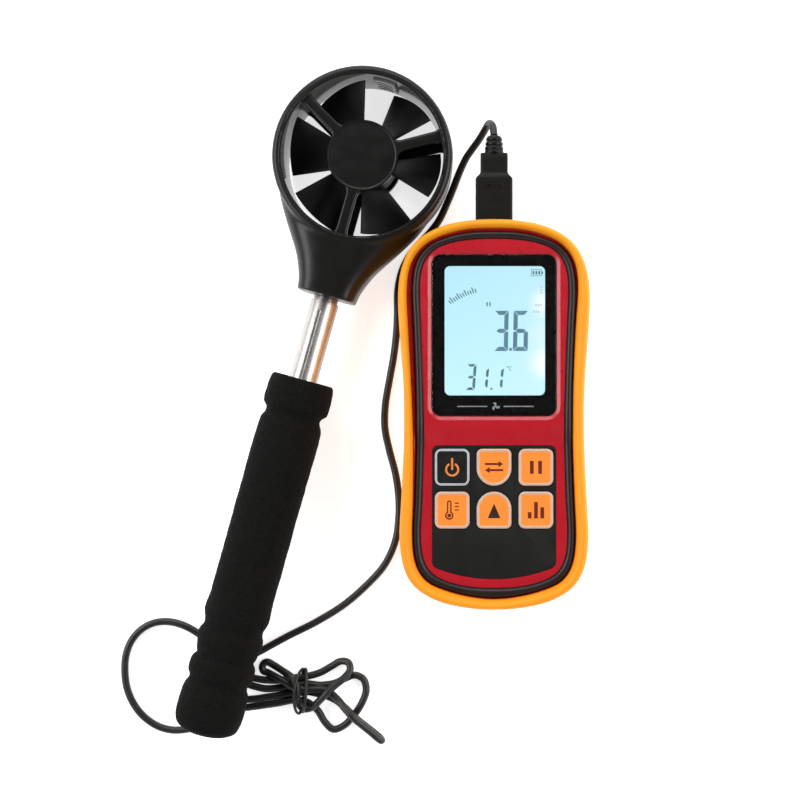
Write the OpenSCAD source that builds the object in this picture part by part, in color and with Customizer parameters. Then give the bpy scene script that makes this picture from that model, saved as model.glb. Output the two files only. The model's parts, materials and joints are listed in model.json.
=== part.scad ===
// Handheld weather meter: a display unit in a rubber boot, with a vane probe
// on a telescopic handle, joined by a cord. It lies on its back.
// Origin: centre of the display unit's back face. +Y runs to its socket end, +Z out of its display.

/* [Display unit] */
// Width over the boot
meter_w = 80; // [77:0.5:84]
// Length over the boot
meter_l = 162; // [158:1:168]
// Thickness over the boot's lip
meter_t = 38.5; // [38:0.5:41]
// Width of the clear window
lens_w = 51.2; // [49:0.2:52]
// Length of the clear window
lens_l = 66.5; // [64:0.5:67]
// Width of a key
key_w = 14.3; // [13:0.1:15]
// Length of a key
key_l = 15.2; // [14:0.1:15.6]
// Travel of a key
key_travel = 0.8; // [0.4:0.1:0.9]

/* [Vane head] */
// Largest radius of the ring
ring_r = 37.6; // [37.2:0.1:37.8]
// Radius of the air duct
duct_r = 34; // [33.8:0.1:34.4]
// Depth of the head
head_t = 28; // [28:0.2:29]
// Radius of the vane wheel at its blade tips
tip_r = 32.4; // [30:0.2:32.8]
// Number of blades
blades = 6; // [4:1:8]
// Turn of a blade from its front edge to its back edge, degrees
blade_turn = 40; // [30:1:42]

/* [Telescopic handle] */
// Diameter of the outer tube
base_d = 12; // [11.8:0.1:12.2]
// Diameter of the middle tube
mid_d = 10.4; // [10.2:0.1:10.4]
// Diameter of the inner tube
inner_d = 8.8; // [8.6:0.1:8.8]
// Length of the foam grip
grip_l = 155.6; // [150:0.2:155.6]
// Largest radius of the foam grip
grip_r = 13.9; // [13.4:0.1:14]

/* [Cord] */
// Diameter of the cord
cord_d = 3.2; // [2.8:0.1:3.2]

/* [Hidden] */
$fn = 48;

// ---------- Outlines of the display unit ----------
// Right halves, top to bottom, for a boot 80 mm wide and 162 mm long; they are scaled to
// meter_w and meter_l. All three have the same number of points, so that walls can run between them.
boot_half = [
    [0, 81], [12, 80.3], [23, 77.6], [32.5, 71.8], [38, 62.5], [40, 50], [39.2, 32], [37.7, 12],
    [37.5, -10], [38.6, -35], [39.4, -51], [38, -62.5], [33.5, -71.2], [24, -77.3], [12, -80.2], [0, -81]
];
trim_half = [
    [0, 75.6], [10.5, 75.2], [20, 73], [27.4, 69.3], [32.2, 62.5], [33.8, 52], [33.2, 36], [32.3, 12],
    [32.2, -8], [33, -35], [33.6, -50], [32.3, -61.5], [27.8, -68.7], [20, -72.4], [10, -75], [0, -76]
];
face_half = [
    [0, 72.4], [9.5, 72], [18, 70.6], [24.8, 67.6], [29, 62], [30.6, 53], [30, 36], [29.2, 12],
    [28.9, -8], [29.6, -35], [30.3, -49], [29.2, -59.5], [25.3, -65.8], [18, -69.4], [9.2, -71.2], [0, -71.6]
];
outline_steps = 3;      // points of the smooth curve for each point above

function spline(a, b, c, d, t) =
    0.5 * (2 * b + (c - a) * t + (2 * a - 5 * b + 4 * c - d) * t * t + (3 * b - a - 3 * c + d) * t * t * t);
function both_halves(half) =
    concat(half, [for (i = [len(half) - 2 : -1 : 1]) [-half[i][0], half[i][1]]]);
function smooth_loop(p, steps) =
    let (n = len(p))
    [for (i = [0 : n - 1], k = [0 : steps - 1])
        spline(p[(i + n - 1) % n], p[i], p[(i + 1) % n], p[(i + 2) % n], k / steps)];
function scaled(half) = [for (p = half) [p[0] * meter_w / 80, p[1] * meter_l / 162]];
function outline(half) = smooth_loop(both_halves(scaled(half)), outline_steps);

boot_line = outline(boot_half);
trim_line = outline(trim_half);
face_line = outline(face_half);
// A line between the boot's outline (0) and the trim ring's (1); above 1 it lies further in
function inward(share) = boot_line + share * (trim_line - boot_line);
// A line between the trim ring's outer edge (0) and the red face's edge (1)
function on_trim(share) = trim_line + share * (face_line - trim_line);

shell_at = 0.6;         // where the case's outer wall lies, as a share of the way in
cavity_at = 1.0;        // where its inner wall lies
flange_at = 1.95;       // how far in the boot's back flange reaches
island_at = 2.0;        // edge of the case's raised back panel

// ---------- Heights in the display unit ----------
split_z = 16.5;         // where the two case halves meet
flange_t = 2.6;         // the boot's back flange
shoulder_z = 33;        // top of the front shell's wall, under the boot's lip
plate_z = 31;           // underside of the front shell's plate
face_z = 36;            // red face round the display
keypad_z = 34.4;        // red face round the keys
band_top = -5.5;        // the sloping band runs from here
band_low = -12;         // to here
board_z = 23.2;         // underside of the main board
board_t = 1.6;
board_top = board_z + board_t;

// ---------- Places in the display unit ----------
lens_y = 32.7;
lcd_view = [41.4, 53.3];
lcd_y = 34.6;
lcd_size = [46, 58];
key_x = [-17.3, 0, 17.3];
key_y = [-21.8, -39.5];
keypad_w = 51.2;
keypad_top = -12.8;
keypad_low = -68;
keypad_bow = 65.6;      // radius of its lower edge
socket_z = 20.6;        // height of the socket's and the plug's axis
socket_mouth = 77.7;
case_screw_at = [[29.5, 60], [-29.5, 60], [29.5, -57], [-29.5, -57]];
board_screw_at = [[17, 69.3], [-17, 69.3], [21, -60], [-21, -60]];
door_w = 31;
door_l = 64;
door_y = -35;
door_gap = 0.3;
door_top = door_y + door_l / 2;
door_low = 0.3;         // outer face of the door
door_t = 1.8;
hook_x = [-9, 9];
door_screw_y = -64.6;
battery_size = [26.5, 48.5, 17.5];
battery_y = -37.25;
bay_size = [27.6, 55.6];
bay_y = -34.2;
snap_y = -12.8;
lcd_low = 31.1;         // underside of the display glass
lcd_t = 2.7;

// ---------- Places on the probe ----------
probe_at = [-55.3, 108.4, 14.58];   // centre of the vane head
probe_yaw = 15.6;                   // turn of the handle's axis from -Y, clockwise from above
probe_tilt = 0.8;                   // the handle's end lies this much higher, on its cord
neck_end = 60.6;                    // distances from the head's centre along the handle
base_start = 62.8;
grip_start = 97.2;
core_end = grip_start + grip_l - 3;
tube_end = core_end - 6;
mid_tail = 226;
inner_start = 46;
inner_tail = 215;

// ---------- The cord's route: a smooth line through points chosen by hand ----------
lead_route = [
    [0, 118, 20.6], [-0.6, 122.4, 18.8], [-2.2, 124.4, 14.6], [-4, 122.4, 10.6], [-6.6, 118.6, 8.4],
    [-9.4, 115, 7], [-12.2, 111.2, 5.6], [-15, 105.6, 4.2], [-17.8, 98.8, 2.6], [-20.8, 91.8, 1.8],
    [-24, 85, 1.7], [-28, 79.6, 1.7], [-32.6, 74.8, 1.7], [-37, 69.4, 1.7], [-40.4, 62.6, 1.7],
    [-42.2, 54, 1.7], [-42.3, 44, 1.7], [-42.8, 35, 1.7], [-44, 25, 1.7], [-45.8, 15, 1.7],
    [-47.6, 4, 1.7], [-47.8, -6, 1.7], [-45.8, -16, 1.7], [-43.2, -26, 1.7], [-41.8, -36, 1.7],
    [-41.8, -46, 1.7], [-43.4, -56, 1.7], [-48, -66, 1.7], [-56, -75, 1.7], [-66, -83.6, 1.7],
    [-78, -91, 1.7], [-90, -97, 1.7], [-101, -103, 1.7], [-107, -106.4, 1.7], [-109.4, -110.6, 1.7],
    [-107.4, -114.4, 1.7], [-102.6, -116, 1.7]
];
loop_route = [
    [-127, -129.6, 5.2], [-128.2, -133.4, 3.4], [-131, -136.6, 2.1], [-135.4, -138, 1.7],
    [-141, -138.2, 1.7], [-147, -136.6, 1.7], [-153, -132.6, 1.7], [-157.6, -127, 1.7],
    [-160.6, -120, 1.7], [-161.6, -112.4, 1.7], [-161, -105, 1.7], [-158.6, -99, 1.7],
    [-154.6, -94.4, 1.7], [-149, -91.4, 1.7], [-142.6, -90.8, 1.7], [-136, -92.4, 1.7],
    [-129.4, -96, 1.7], [-122.6, -101, 1.7], [-118, -107, 1.7], [-116, -113.4, 1.7],
    [-115.8, -120, 1.7], [-114, -125.4, 1.7], [-110, -128.2, 1.7], [-105, -127.9, 1.7], [-97.6, -126.4, 1.7]
];
hank_ends = [[-93, -117.6, 10.4], [-66, -126.6, 17.2]];   // x, y and radius of the hank's two round ends
hank_h = 8;
gland_r = 2.6;
gland_slope = [0.3, 0.85, 0.43];                   // the gland's axis, pointing into the handle

// ================= Shared shapes =================
module rounded(size, r) {
    square([size[0] - 2 * r, size[1]], center = true);
    square([size[0], size[1] - 2 * r], center = true);
    for (x = [-1, 1], y = [-1, 1])
        translate([x * (size[0] / 2 - r), y * (size[1] / 2 - r)]) circle(r);
}

module plate(size, r, z0, z1) {
    translate([0, 0, z0]) linear_extrude(z1 - z0) rounded(size, r);
}

module slab(line, z0, z1) {
    translate([0, 0, z0]) linear_extrude(z1 - z0) polygon(line);
}

module block(low, high) {
    translate(low) cube(high - low);
}

module at_each(places) {
    for (p = places) translate([p[0], p[1], 0]) children();
}

// A closed ring of solid wall: section i of rings is one cross-section, a loop of 3-D points
module swept_ring(rings) {
    n = len(rings);
    m = len(rings[0]);
    polyhedron(
        points = [for (ring = rings) for (p = ring) p],
        faces = [for (i = [0 : n - 1], j = [0 : m - 1])
            [i * m + j, ((i + 1) % n) * m + j, ((i + 1) % n) * m + (j + 1) % m, i * m + (j + 1) % m]],
        convexity = 6
    );
}

// A solid through a row of sections with flat ends
module swept_bar(rings) {
    n = len(rings);
    m = len(rings[0]);
    polyhedron(
        points = [for (ring = rings) for (p = ring) p],
        faces = concat(
            [[for (j = [0 : m - 1]) j]],
            [for (i = [0 : n - 2], j = [0 : m - 1])
                [i * m + j, (i + 1) * m + j, (i + 1) * m + (j + 1) % m, i * m + (j + 1) % m]],
            [[for (j = [m - 1 : -1 : 0]) (n - 1) * m + j]]),
        convexity = 6
    );
}

function unit(v) = v / norm(v);
function heading(p, i) = unit(p[min(i + 1, len(p) - 1)] - p[max(i - 1, 0)]);
// Sideways directions carried along a route without twist
function carried(p, side, i = 0) =
    i == len(p) ? [] :
    let (t = heading(p, i), s = unit(side - t * (side * t)))
    concat([s], carried(p, s, i + 1));

module cord(route, r, side, faces = 8) {
    sides = carried(route, side);
    swept_bar([for (i = [0 : len(route) - 1])
        let (t = heading(route, i), u = sides[i], v = cross(t, u))
        [for (k = [0 : faces - 1]) let (a = -k * 360 / faces) route[i] + r * (cos(a) * u + sin(a) * v)]]);
}

module pointing(at, direction) {
    d = unit(direction);
    translate(at) rotate([0, acos(d[2]), atan2(d[1], d[0])]) children();
}

module screw(head_r, head_h, shank_r, shank_l) {
    difference() {
        cylinder(r = head_r, h = head_h);
        for (a = [0, 90]) rotate(a) translate([0, 0, head_h * 0.25])
            cube([head_r * 1.2, head_r * 0.3, head_h * 0.6], center = true);
    }
    translate([0, 0, head_h]) cylinder(r = shank_r, h = shank_l);
}

// ================= Display unit =================
boot_profile = [    // share of the way in, and height
    [0.22, 0], [0.06, 0.7], [0, 2.6], [0, 31], [0.05, 35], [0.17, 37.3], [0.36, meter_t],
    [0.58, meter_t - 0.1], [0.78, meter_t - 1.2], [1, 35.6], [1, shoulder_z], [shell_at, shoulder_z],
    [shell_at, flange_t], [flange_at, flange_t], [flange_at, 0.4], [flange_at - 0.08, 0]
];

module boot() {
    color("orange") difference() {
        swept_ring([for (i = [0 : len(boot_line) - 1])
            [for (p = boot_profile)
                let (q = boot_line[i] + p[0] * (trim_line[i] - boot_line[i])) [q[0], q[1], p[1]]]]);
        plug_opening();
    }
}

module plug_opening() {
    translate([0, 60, socket_z]) rotate([-90, 0, 0]) linear_extrude(40) rounded([16.6, 8.8], 1);
}

// Side view of the red face: the display half stands higher, with a sloping band between
module face_levels() {
    rotate([90, 0, 90]) translate([0, 0, -50]) linear_extrude(100)
        polygon([
            [-100, 0], [100, 0], [100, face_z],
            [band_top, face_z], [band_low, keypad_z], [-100, keypad_z]
        ]);
}

// Panel round the keys: straight sides, a bowed lower edge and four round corners
module keypad_outline(grow) {
    half = keypad_w / 2 + grow;
    bow = keypad_bow + grow;
    top_r = 2.6 + grow;
    low_r = 3.2 + grow;
    bow_y = keypad_low + keypad_bow;
    corner_x = half - low_r;
    corner_y = bow_y - sqrt((bow - low_r) * (bow - low_r) - corner_x * corner_x);
    touch_x = corner_x * bow / (bow - low_r);       // where a corner runs into the bowed edge
    top = keypad_top + grow;
    translate([0, (corner_y + top) / 2]) square([2 * (half - top_r), top - corner_y], center = true);
    translate([0, (corner_y + top - top_r) / 2]) square([2 * half, top - top_r - corner_y], center = true);
    for (side = [-1, 1]) {
        translate([side * (half - top_r), top - top_r]) circle(top_r);
        translate([side * corner_x, corner_y]) circle(low_r);
    }
    intersection() {
        translate([0, bow_y]) circle(bow, $fn = 96);
        translate([-touch_x, corner_y - 10]) square([2 * touch_x, 12]);
    }
}

module key_outline(kind, grow) {
    size = [key_w + 2 * grow, key_l + 2 * grow];
    if (kind == "square") rounded(size, 2.6 + grow);
    else {
        // one end straight, the other a half circle
        turn = kind == "bowl" ? 0 : 180;
        rotate(turn) {
            translate([0, -(key_l - key_w) / 2]) circle(key_w / 2 + grow);
            intersection() {
                rounded(size, 2.2 + grow);
                translate([-key_w, -(key_l - key_w) / 2]) square([2 * key_w, key_l]);
            }
        }
    }
}

KEYS = [    // kind, column, row
    ["square", 0, 0], ["bowl", 1, 0], ["square", 2, 0],
    ["square", 0, 1], ["dome", 1, 1], ["square", 2, 1]
];

module at_key(i) {
    translate([key_x[KEYS[i][1]], key_y[KEYS[i][2]], 0]) children();
}

module window_chamfer() {
    rim = 1.9;
    translate([0, lens_y, 0]) hull() {
        translate([0, 0, face_z - 0.9]) linear_extrude(0.01)
            rounded([lens_w + 0.3, lens_l + 0.3], 4, $fn = 32);
        translate([0, 0, face_z + 0.1]) linear_extrude(0.01)
            rounded([lens_w + 2 * rim, lens_l + 2 * rim], 4 + rim, $fn = 32);
    }
}

module front_shell() {
    color("firebrick") difference() {
        union() {
            slab(inward(shell_at), split_z, shoulder_z);
            intersection() {
                slab(face_line, shoulder_z - 0.5, face_z);
                face_levels();
            }
        }
        difference() {
            slab(inward(cavity_at), split_z - 1, plate_z);
            at_each(case_screw_at) cylinder(r = 3.25, h = 40);
            at_each(board_screw_at) translate([0, 0, board_top]) cylinder(r = 2.2, h = 20);
        }
        // window: chamfer, seat of the lens, seat of the mask, and the display's opening
        window_chamfer();
        translate([0, lens_y, 0]) plate([lens_w + 0.2, lens_l + 0.2], 4, 34.4, 40);
        translate([0, lens_y, 0]) plate([lens_w - 2, lens_l - 2], 3, 34.1, 35);
        translate([0, lcd_y, 0]) plate([lcd_size[0] + 0.6, lcd_size[1] + 0.6], 0.8, 30, 34.2);
        // keypad: seat of the panel and the key holes
        translate([0, 0, keypad_z - 0.9]) linear_extrude(5) keypad_outline(0.1);
        for (i = [0 : 5]) at_key(i) translate([0, 0, 30]) linear_extrude(6) key_outline(KEYS[i][0], 0.3);
        at_each(case_screw_at) translate([0, 0, split_z - 1]) cylinder(r = 1.3, h = 12);
        at_each(board_screw_at) translate([0, 0, board_top - 1]) cylinder(r = 0.8, h = 6);
        socket_opening();
    }
}

module socket_opening() {
    block([-4.7, 60, socket_z - 2.8], [4.7, 90, socket_z + 2.8]);
}

module rear_shell() {
    color("dimgray") difference() {
        union() {
            difference() {
                union() {
                    slab(inward(shell_at), flange_t, split_z);
                    slab(inward(island_at), 0, flange_t + 0.5);
                }
                slab(inward(cavity_at), flange_t + 2, split_z + 1);
                slab(inward(island_at + 0.35), 2, flange_t + 2.5);
            }
            // ledge the door closes against, and the walls round the battery
            intersection() {
                translate([0, door_y, 0]) plate([door_w + 6, door_l + 4], 3, 1.5, 4);
                slab(inward(island_at), 0, 5);
            }
            translate([0, bay_y, 0]) plate([bay_size[0] + 3, bay_size[1] + 3], 1.5, 1.5, 15);
            translate([0, door_screw_y, 1.5]) cylinder(r = 3.4, h = 11);
            at_each(case_screw_at) translate([0, 0, flange_t]) cylinder(r = 3.5, h = split_z - flange_t);
        }
        translate([0, bay_y, 0]) plate(bay_size, 1, 1, 20);
        translate([0, door_y, 0]) plate([door_w + 2 * door_gap, door_l + 2 * door_gap], 1.2, -1, 2.4);
        for (x = hook_x) translate([x, door_top, 0]) block([-3.4, -5, 2.05], [3.4, 2.4, 5]);
        translate([0, door_screw_y, -1]) cylinder(r = 1.9, h = 12);
        at_each(case_screw_at) {
            translate([0, 0, -1]) cylinder(r = 2.7, h = 6.6);
            cylinder(r = 1.45, h = 20);
        }
    }
}

trim_profile = [    // share of the way from the trim's outer edge to the face, and height above the face
    [0, -1.2], [0.06, 0.1], [0.25, 0.9], [0.5, 1.1], [0.75, 0.8], [0.94, 0.1], [1, -0.6]
];
function face_level(y) =
    y > band_top ? face_z : y < band_low ? keypad_z :
    keypad_z + (face_z - keypad_z) * (y - band_low) / (band_top - band_low);

module trim_ring() {
    color("black") swept_ring([for (i = [0 : len(trim_line) - 1])
        let (z = face_level(trim_line[i][1]))
        concat(
            [for (p = trim_profile)
                let (q = trim_line[i] + p[0] * (face_line[i] - trim_line[i])) [q[0], q[1], z + p[1]]],
            [[face_line[i][0], face_line[i][1], shoulder_z],
                [trim_line[i][0], trim_line[i][1], shoulder_z]])]);
}

module display_lens() {
    color("lightcyan", 0.4) translate([0, lens_y, 0]) plate([lens_w, lens_l], 3.9, 34.4, 35.6);
}

module display_mask() {
    color("black") difference() {
        translate([0, lens_y, 0]) plate([lens_w - 2.4, lens_l - 2.4], 2.8, 34.15, 34.4);
        translate([0.3, lcd_y, 0]) plate(lcd_view, 2.3, 33, 35);
    }
}

module lcd_glass() {
    color("lightblue") translate([0, lcd_y, 0]) plate(lcd_size, 0.5, lcd_low, lcd_low + lcd_t);
}

module backlight() {
    color("white") translate([0, lcd_y, 0])
        plate([lcd_size[0] - 0.4, lcd_size[1] - 8], 0.5, board_top, lcd_low);
}

module lcd_frame() {
    color("gainsboro") translate([0, lcd_y, 0]) difference() {
        plate([lcd_size[0] + 5, lcd_size[1] + 5], 1.5, board_top, plate_z - 0.1);
        plate([lcd_size[0] + 0.3, lcd_size[1] + 0.3], 0.6, 20, 32);
    }
}

module contact_strips() {
    color("pink") for (s = [-1, 1])
        translate([0, lcd_y + s * (lcd_size[1] / 2 - 1.6), 0]) plate([40, 2.4], 0.3, board_top, lcd_low);
}

module keypad_panel() {
    color("black") translate([0, 0, keypad_z - 0.9]) linear_extrude(0.9) difference() {
        keypad_outline(0);
        for (i = [0 : 5]) at_key(i) key_outline(KEYS[i][0], 0.3);
    }
}

// Cap, a flange that holds it under the front plate, and a stem over its dome
module key(i) {
    at_key(i) {
        translate([0, 0, 29.9]) linear_extrude(keypad_z + 0.5 - 29.9) key_outline(KEYS[i][0], 0);
        translate([0, 0, 29.9]) linear_extrude(0.8) key_outline("square", 0.8);
        translate([0, 0, board_top + 0.3 + key_travel + 0.2]) cylinder(d = 5, h = 4.5);
    }
}
module power_key() { color("black") key(0); }
module unit_key() { color("orange") key(1); }
module hold_key() { color("orange") key(2); }
module temp_key() { color("orange") key(3); }
module up_key() { color("orange") key(4); }
module max_key() { color("orange") key(5); }

module key_contacts() {
    color("silver") for (i = [0 : 5]) at_key(i) translate([0, 0, board_top]) cylinder(d = 8, h = 0.3);
}

module main_board() {
    color("darkgreen") difference() {
        translate([0, 3, 0]) plate([52, 138], 9, board_z, board_top);
        at_each(board_screw_at) cylinder(r = 0.9, h = 40);
    }
}

module board_chips() {
    chips = [
        [[-14, 40], [10, 10]], [[8, 30], [6, 8]], [[-12, 8], [7, 5]],
        [[14, 52], [5, 4]], [[16, 2], [4, 6]]
    ];
    color("black") for (c = chips)
        translate([c[0][0], c[0][1], 0]) plate(c[1], 0.4, board_z - 1.4, board_z);
}

module buzzer() {
    color("black") translate([-14, 24, board_z - 3.2]) cylinder(d = 9, h = 3.2);
}

module board_screws() {
    color("silver") at_each(board_screw_at) translate([0, 0, board_z - 1.2]) screw(1.8, 1.2, 0.8, 5.8);
}

module probe_socket() {
    color("silver") difference() {
        block([-4.4, 68.2, socket_z - 2.6], [4.4, socket_mouth, board_z]);
        block([-4, 68.8, socket_z - 2.2], [4, 80, socket_z + 2.2]);
    }
}

module socket_tongue() {
    color("black") block([-2.7, 68.8, socket_z - 0.6], [2.7, 75.6, socket_z + 0.6]);
}

module battery() {
    color("slategray") translate([0, battery_y, 0])
        plate([battery_size[0], battery_size[1]], 2, 3.2, 3.2 + battery_size[2]);
}

module battery_snap() {
    color("black") block([-12.5, snap_y, 6], [12.5, snap_y + 3.2, 18]);
}

// Two wires that leave the snap and rise to the board
module battery_leads() {
    bend_z = 15;
    for (s = [-1, 1]) color(s > 0 ? "red" : "black") translate([s * 5, snap_y + 3.2, bend_z]) {
        rotate([-90, 0, 0]) cylinder(r = 0.6, h = 1.6);
        translate([0, 1.6, 0]) sphere(r = 0.6);
        translate([0, 1.6, 0]) cylinder(r = 0.6, h = board_z - bend_z);
    }
}

module battery_door() {
    color("dimgray") difference() {
        union() {
            difference() {
                translate([0, door_y, 0]) plate([door_w, door_l], 2.2, door_low, door_low + door_t);
                translate([0, door_top, 0]) block([-door_w, -door_t / 2, -1], [door_w, 3, 4]);
            }
            // rounded edge that the door turns on
            translate([1 - door_w / 2, door_top - door_t / 2, door_low + door_t / 2])
                rotate([0, 90, 0]) cylinder(d = door_t, h = door_w - 2);
            // two hooks that reach over the edge of the case's floor
            for (x = hook_x) translate([x, door_top, 0]) {
                block([-3, -4, 1.8], [3, -0.6, 3.3]);
                block([-3, -4, 2.35], [3, 1.9, 3.3]);
            }
        }
        translate([0, door_screw_y, -0.5]) cylinder(r = 2.7, h = 1.5);
        translate([0, door_screw_y, -1]) cylinder(r = 1.3, h = 5);
    }
}

module door_screw() {
    color("silver") translate([0, door_screw_y, 0.4]) screw(2.5, 0.6, 1.3, 6);
}

module case_screws() {
    color("silver") at_each(case_screw_at) translate([0, 0, 3.6]) screw(2.5, 2, 1.3, 20);
}

// ================= Plug and cord =================
plug_start = socket_mouth + 0.9;
plug_outline = [[7.85, 0], [7.85, 21.1], [5.85, 23.2], [5.85, 31.7]];
relief_start = plug_start + 31.7;
relief_end = 118;

module plug_shell() {
    color("silver") difference() {
        block([-3.8, 70.2, socket_z - 2], [3.8, plug_start, socket_z + 2]);
        block([-3.4, 69, socket_z - 1.6], [3.4, plug_start - 1, socket_z + 1.6]);
    }
}

module plug_body() {
    color([0.1, 0.1, 0.1]) difference() {
        intersection() {
            translate([0, plug_start, socket_z - 10]) linear_extrude(20)
                polygon(concat(
                    plug_outline,
                    [for (i = [3 : -1 : 0]) [-plug_outline[i][0], plug_outline[i][1]]]));
            translate([-10, 0, 0]) rotate([90, 0, 90]) linear_extrude(20)
                polygon([[plug_start, socket_z - 4], [plug_start + 20.4, socket_z - 4],
                    [plug_start + 23, socket_z - 3.3], [relief_start, socket_z - 3.3],
                    [relief_start, socket_z + 3.3], [plug_start + 23, socket_z + 3.3],
                    [plug_start + 20.4, socket_z + 4], [plug_start, socket_z + 4]]);
        }
        for (s = [-1, 1]) translate([s * 2.2, plug_start + 17.6, socket_z + 3.6]) cylinder(d = 1, h = 2);
    }
}

module plug_relief() {
    rib = (relief_end - relief_start) / 5;
    color([0.1, 0.1, 0.1]) translate([0, relief_start, socket_z]) rotate([-90, 0, 0]) {
        cylinder(d = 5.6, h = relief_end - relief_start);
        for (k = [0, 2, 4]) translate([0, 0, k * rib]) cylinder(d = k < 4 ? 7.7 : 7.2, h = rib);
    }
}

module cable_lead() {
    color([0.13, 0.13, 0.13]) cord(lead_route, cord_d / 2, [1, 0, 0]);
}

module cable_loop() {
    color([0.13, 0.13, 0.13]) cord(loop_route, cord_d / 2, [1, 0, 0]);
}

module cable_hank() {
    color([0.13, 0.13, 0.13]) translate([0, 0, 0.1]) linear_extrude(hank_h) hull()
        for (e = hank_ends) translate([e[0], e[1]]) circle(e[2], $fn = 32);
}

// ================= Handle =================
// Places its children in the probe's own frame: centre of the head at the origin, handle along -Y
module probe_frame() {
    translate(probe_at) rotate([-probe_tilt, 0, -probe_yaw]) children();
}

// Turns a shape along +Z into one that starts at a distance from the head and runs down the handle
module down_handle(start) {
    translate([0, -start, 0]) rotate([90, 0, 0]) children();
}

module pipe(outer, bore, from, to) {
    down_handle(from) difference() {
        cylinder(r = outer, h = to - from);
        translate([0, 0, -1]) cylinder(r = bore, h = to - from + 2);
    }
}

module gland_shape(r, from, to) {
    pointing(loop_route[0], gland_slope) translate([0, 0, from]) cylinder(r = r, h = to - from);
}

module cord_gland() {
    color("black") gland_shape(gland_r, 0, 11);
}

grip_profile = [    // distance from the grip's top on a grip 155.6 mm long, and radius as a share of grip_r
    [0, 0.9], [0.8, 0.97], [2.2, 1], [13, 1], [14.6, 0.89], [17.6, 0.88], [20, 0.97], [23, 0.99],
    [103, 1], [107, 0.95], [109.5, 0.92], [112, 0.93], [115, 0.97], [118, 0.97], [121, 0.93],
    [123, 0.93], [126, 1.01], [148, 1.02], [151.2, 0.99], [153.2, 0.9], [154.6, 0.72],
    [155.4, 0.42], [155.6, 0]
];
core_r = 10;

module foam_grip() {
    color([0.08, 0.08, 0.08]) difference() {
        probe_frame() down_handle(grip_start) rotate_extrude() polygon(concat(
            [for (p = grip_profile) [p[1] * grip_r, p[0] * grip_l / 155.6]],
            [[0, core_end - grip_start], [core_r, core_end - grip_start], [core_r, 0]]));
        gland_shape(gland_r, -5, 12);
    }
}

module handle_core() {
    color("black") difference() {
        probe_frame() union() {
            pipe(core_r, base_d / 2, grip_start + 1.5, tube_end);
            down_handle(tube_end) difference() {
                cylinder(r = core_r, h = core_end - tube_end);
                translate([0, 0, -1]) cylinder(r = 4, h = 4);
            }
        }
        gland_shape(gland_r, -5, 14);
    }
}

module base_tube() {
    wall = 0.5;
    color("silver") probe_frame() difference() {
        down_handle(base_start) difference() {
            cylinder(d = base_d, h = tube_end - base_start);
            translate([0, 0, -1]) cylinder(d = mid_d + 0.1, h = 10);
            translate([0, 0, 3]) cylinder(d = base_d - 2 * wall, h = 300);
        }
        // keyway along the front of the tube
        block([-1.2, -grip_start - 1, base_d / 2 - 0.25], [0, -base_start - 4, base_d / 2 + 1]);
    }
}

module coiled_lead() {
    color("black") probe_frame() down_handle(neck_end + 6) cylinder(r = 3.2, h = tube_end + 2 - neck_end - 6);
}

module mid_tube() {
    wall = 0.5;
    color("silver") probe_frame() down_handle(neck_end + 0.3) difference() {
        cylinder(d = mid_d, h = mid_tail - neck_end);
        translate([0, 0, -1]) cylinder(d = inner_d + 0.1, h = 10);
        translate([0, 0, 3]) cylinder(d = mid_d - 2 * wall, h = 300);
    }
}

module mid_bush() {
    color("goldenrod") probe_frame() pipe(base_d / 2 - 0.55, mid_d / 2, mid_tail - 12, mid_tail);
}

module inner_tube() {
    color("silver") probe_frame() pipe(inner_d / 2, inner_d / 2 - 0.5, inner_start, inner_tail);
}

module inner_bush() {
    color("goldenrod") probe_frame() pipe(mid_d / 2 - 0.55, inner_d / 2, inner_tail - 12, inner_tail);
}

// ================= Vane head =================
half_t = head_t / 2;
ring_profile = [    // radius less than ring_r, and height, of the ring's outer side
    [-2.2, -half_t], [-1.5, -half_t + 2.5], [-0.4, -half_t + 8], [0, 2], [-0.1, half_t - 5],
    [-0.7, half_t - 1.6], [-1.7, half_t - 0.1], [-2.6, half_t]
];
neck_sections = [   // distance from the head's centre, half width, half depth
    [17, 33, 13.9], [24, 30, 13.9], [30, 26.8, 13.8], [36, 23.4, 13.6], [41, 20.2, 13.3], [46, 17.2, 12.8],
    [51, 14.8, 12.3], [56, 13.1, 11.9], [neck_end, 12.5, 11.6]
];
spoke_angles = [30, 150, 270];
spoke_w = 4.6;
hub_r = 14.6;
wheel_hub_r = 13.6;
wheel_half = 8.8;       // half the depth of the vane wheel
hub_z = 9.7;            // inner face of the hubs
hub_face = 12.9;        // outer face of the hubs
bearing_r = 3;
shaft_r = 1;

module neck() {
    swept_bar([for (s = neck_sections)
        [for (k = [0 : 23])
            let (a = k * 15, c = cos(a), d = sin(a), e = 0.62)
            [s[1] * sign(c) * pow(abs(c), e), -s[0], s[2] * sign(d) * pow(abs(d), e)]]]);
}

module head_body() {
    difference() {
        union() {
            rotate_extrude($fn = 96) polygon(concat(
                [for (p = ring_profile) [ring_r + p[0], p[1]]],
                [[duct_r - 2, half_t], [duct_r - 2, -half_t]]));
            neck();
        }
        cylinder(r = duct_r, h = 60, center = true, $fn = 96);
        down_handle(inner_start) cylinder(d = inner_d, h = 40);
        down_handle(duct_r - 2) cylinder(r = 1.5, h = 20);
        // pocket of the air temperature sensor, opposite the neck
        block([-5, duct_r - 1, -8], [5, duct_r + 2.2, 8]);
    }
}

module spider() {
    difference() {
        union() {
            translate([0, 0, hub_z]) cylinder(r = hub_r, h = hub_face - hub_z);
            for (a = spoke_angles) rotate(a)
                block([hub_r - 1, -spoke_w / 2, hub_z + 0.2], [duct_r + 1, spoke_w / 2, hub_face - 0.3]);
        }
        translate([0, 0, hub_z - 1]) cylinder(r = bearing_r, h = 3.2);
    }
}

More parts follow.
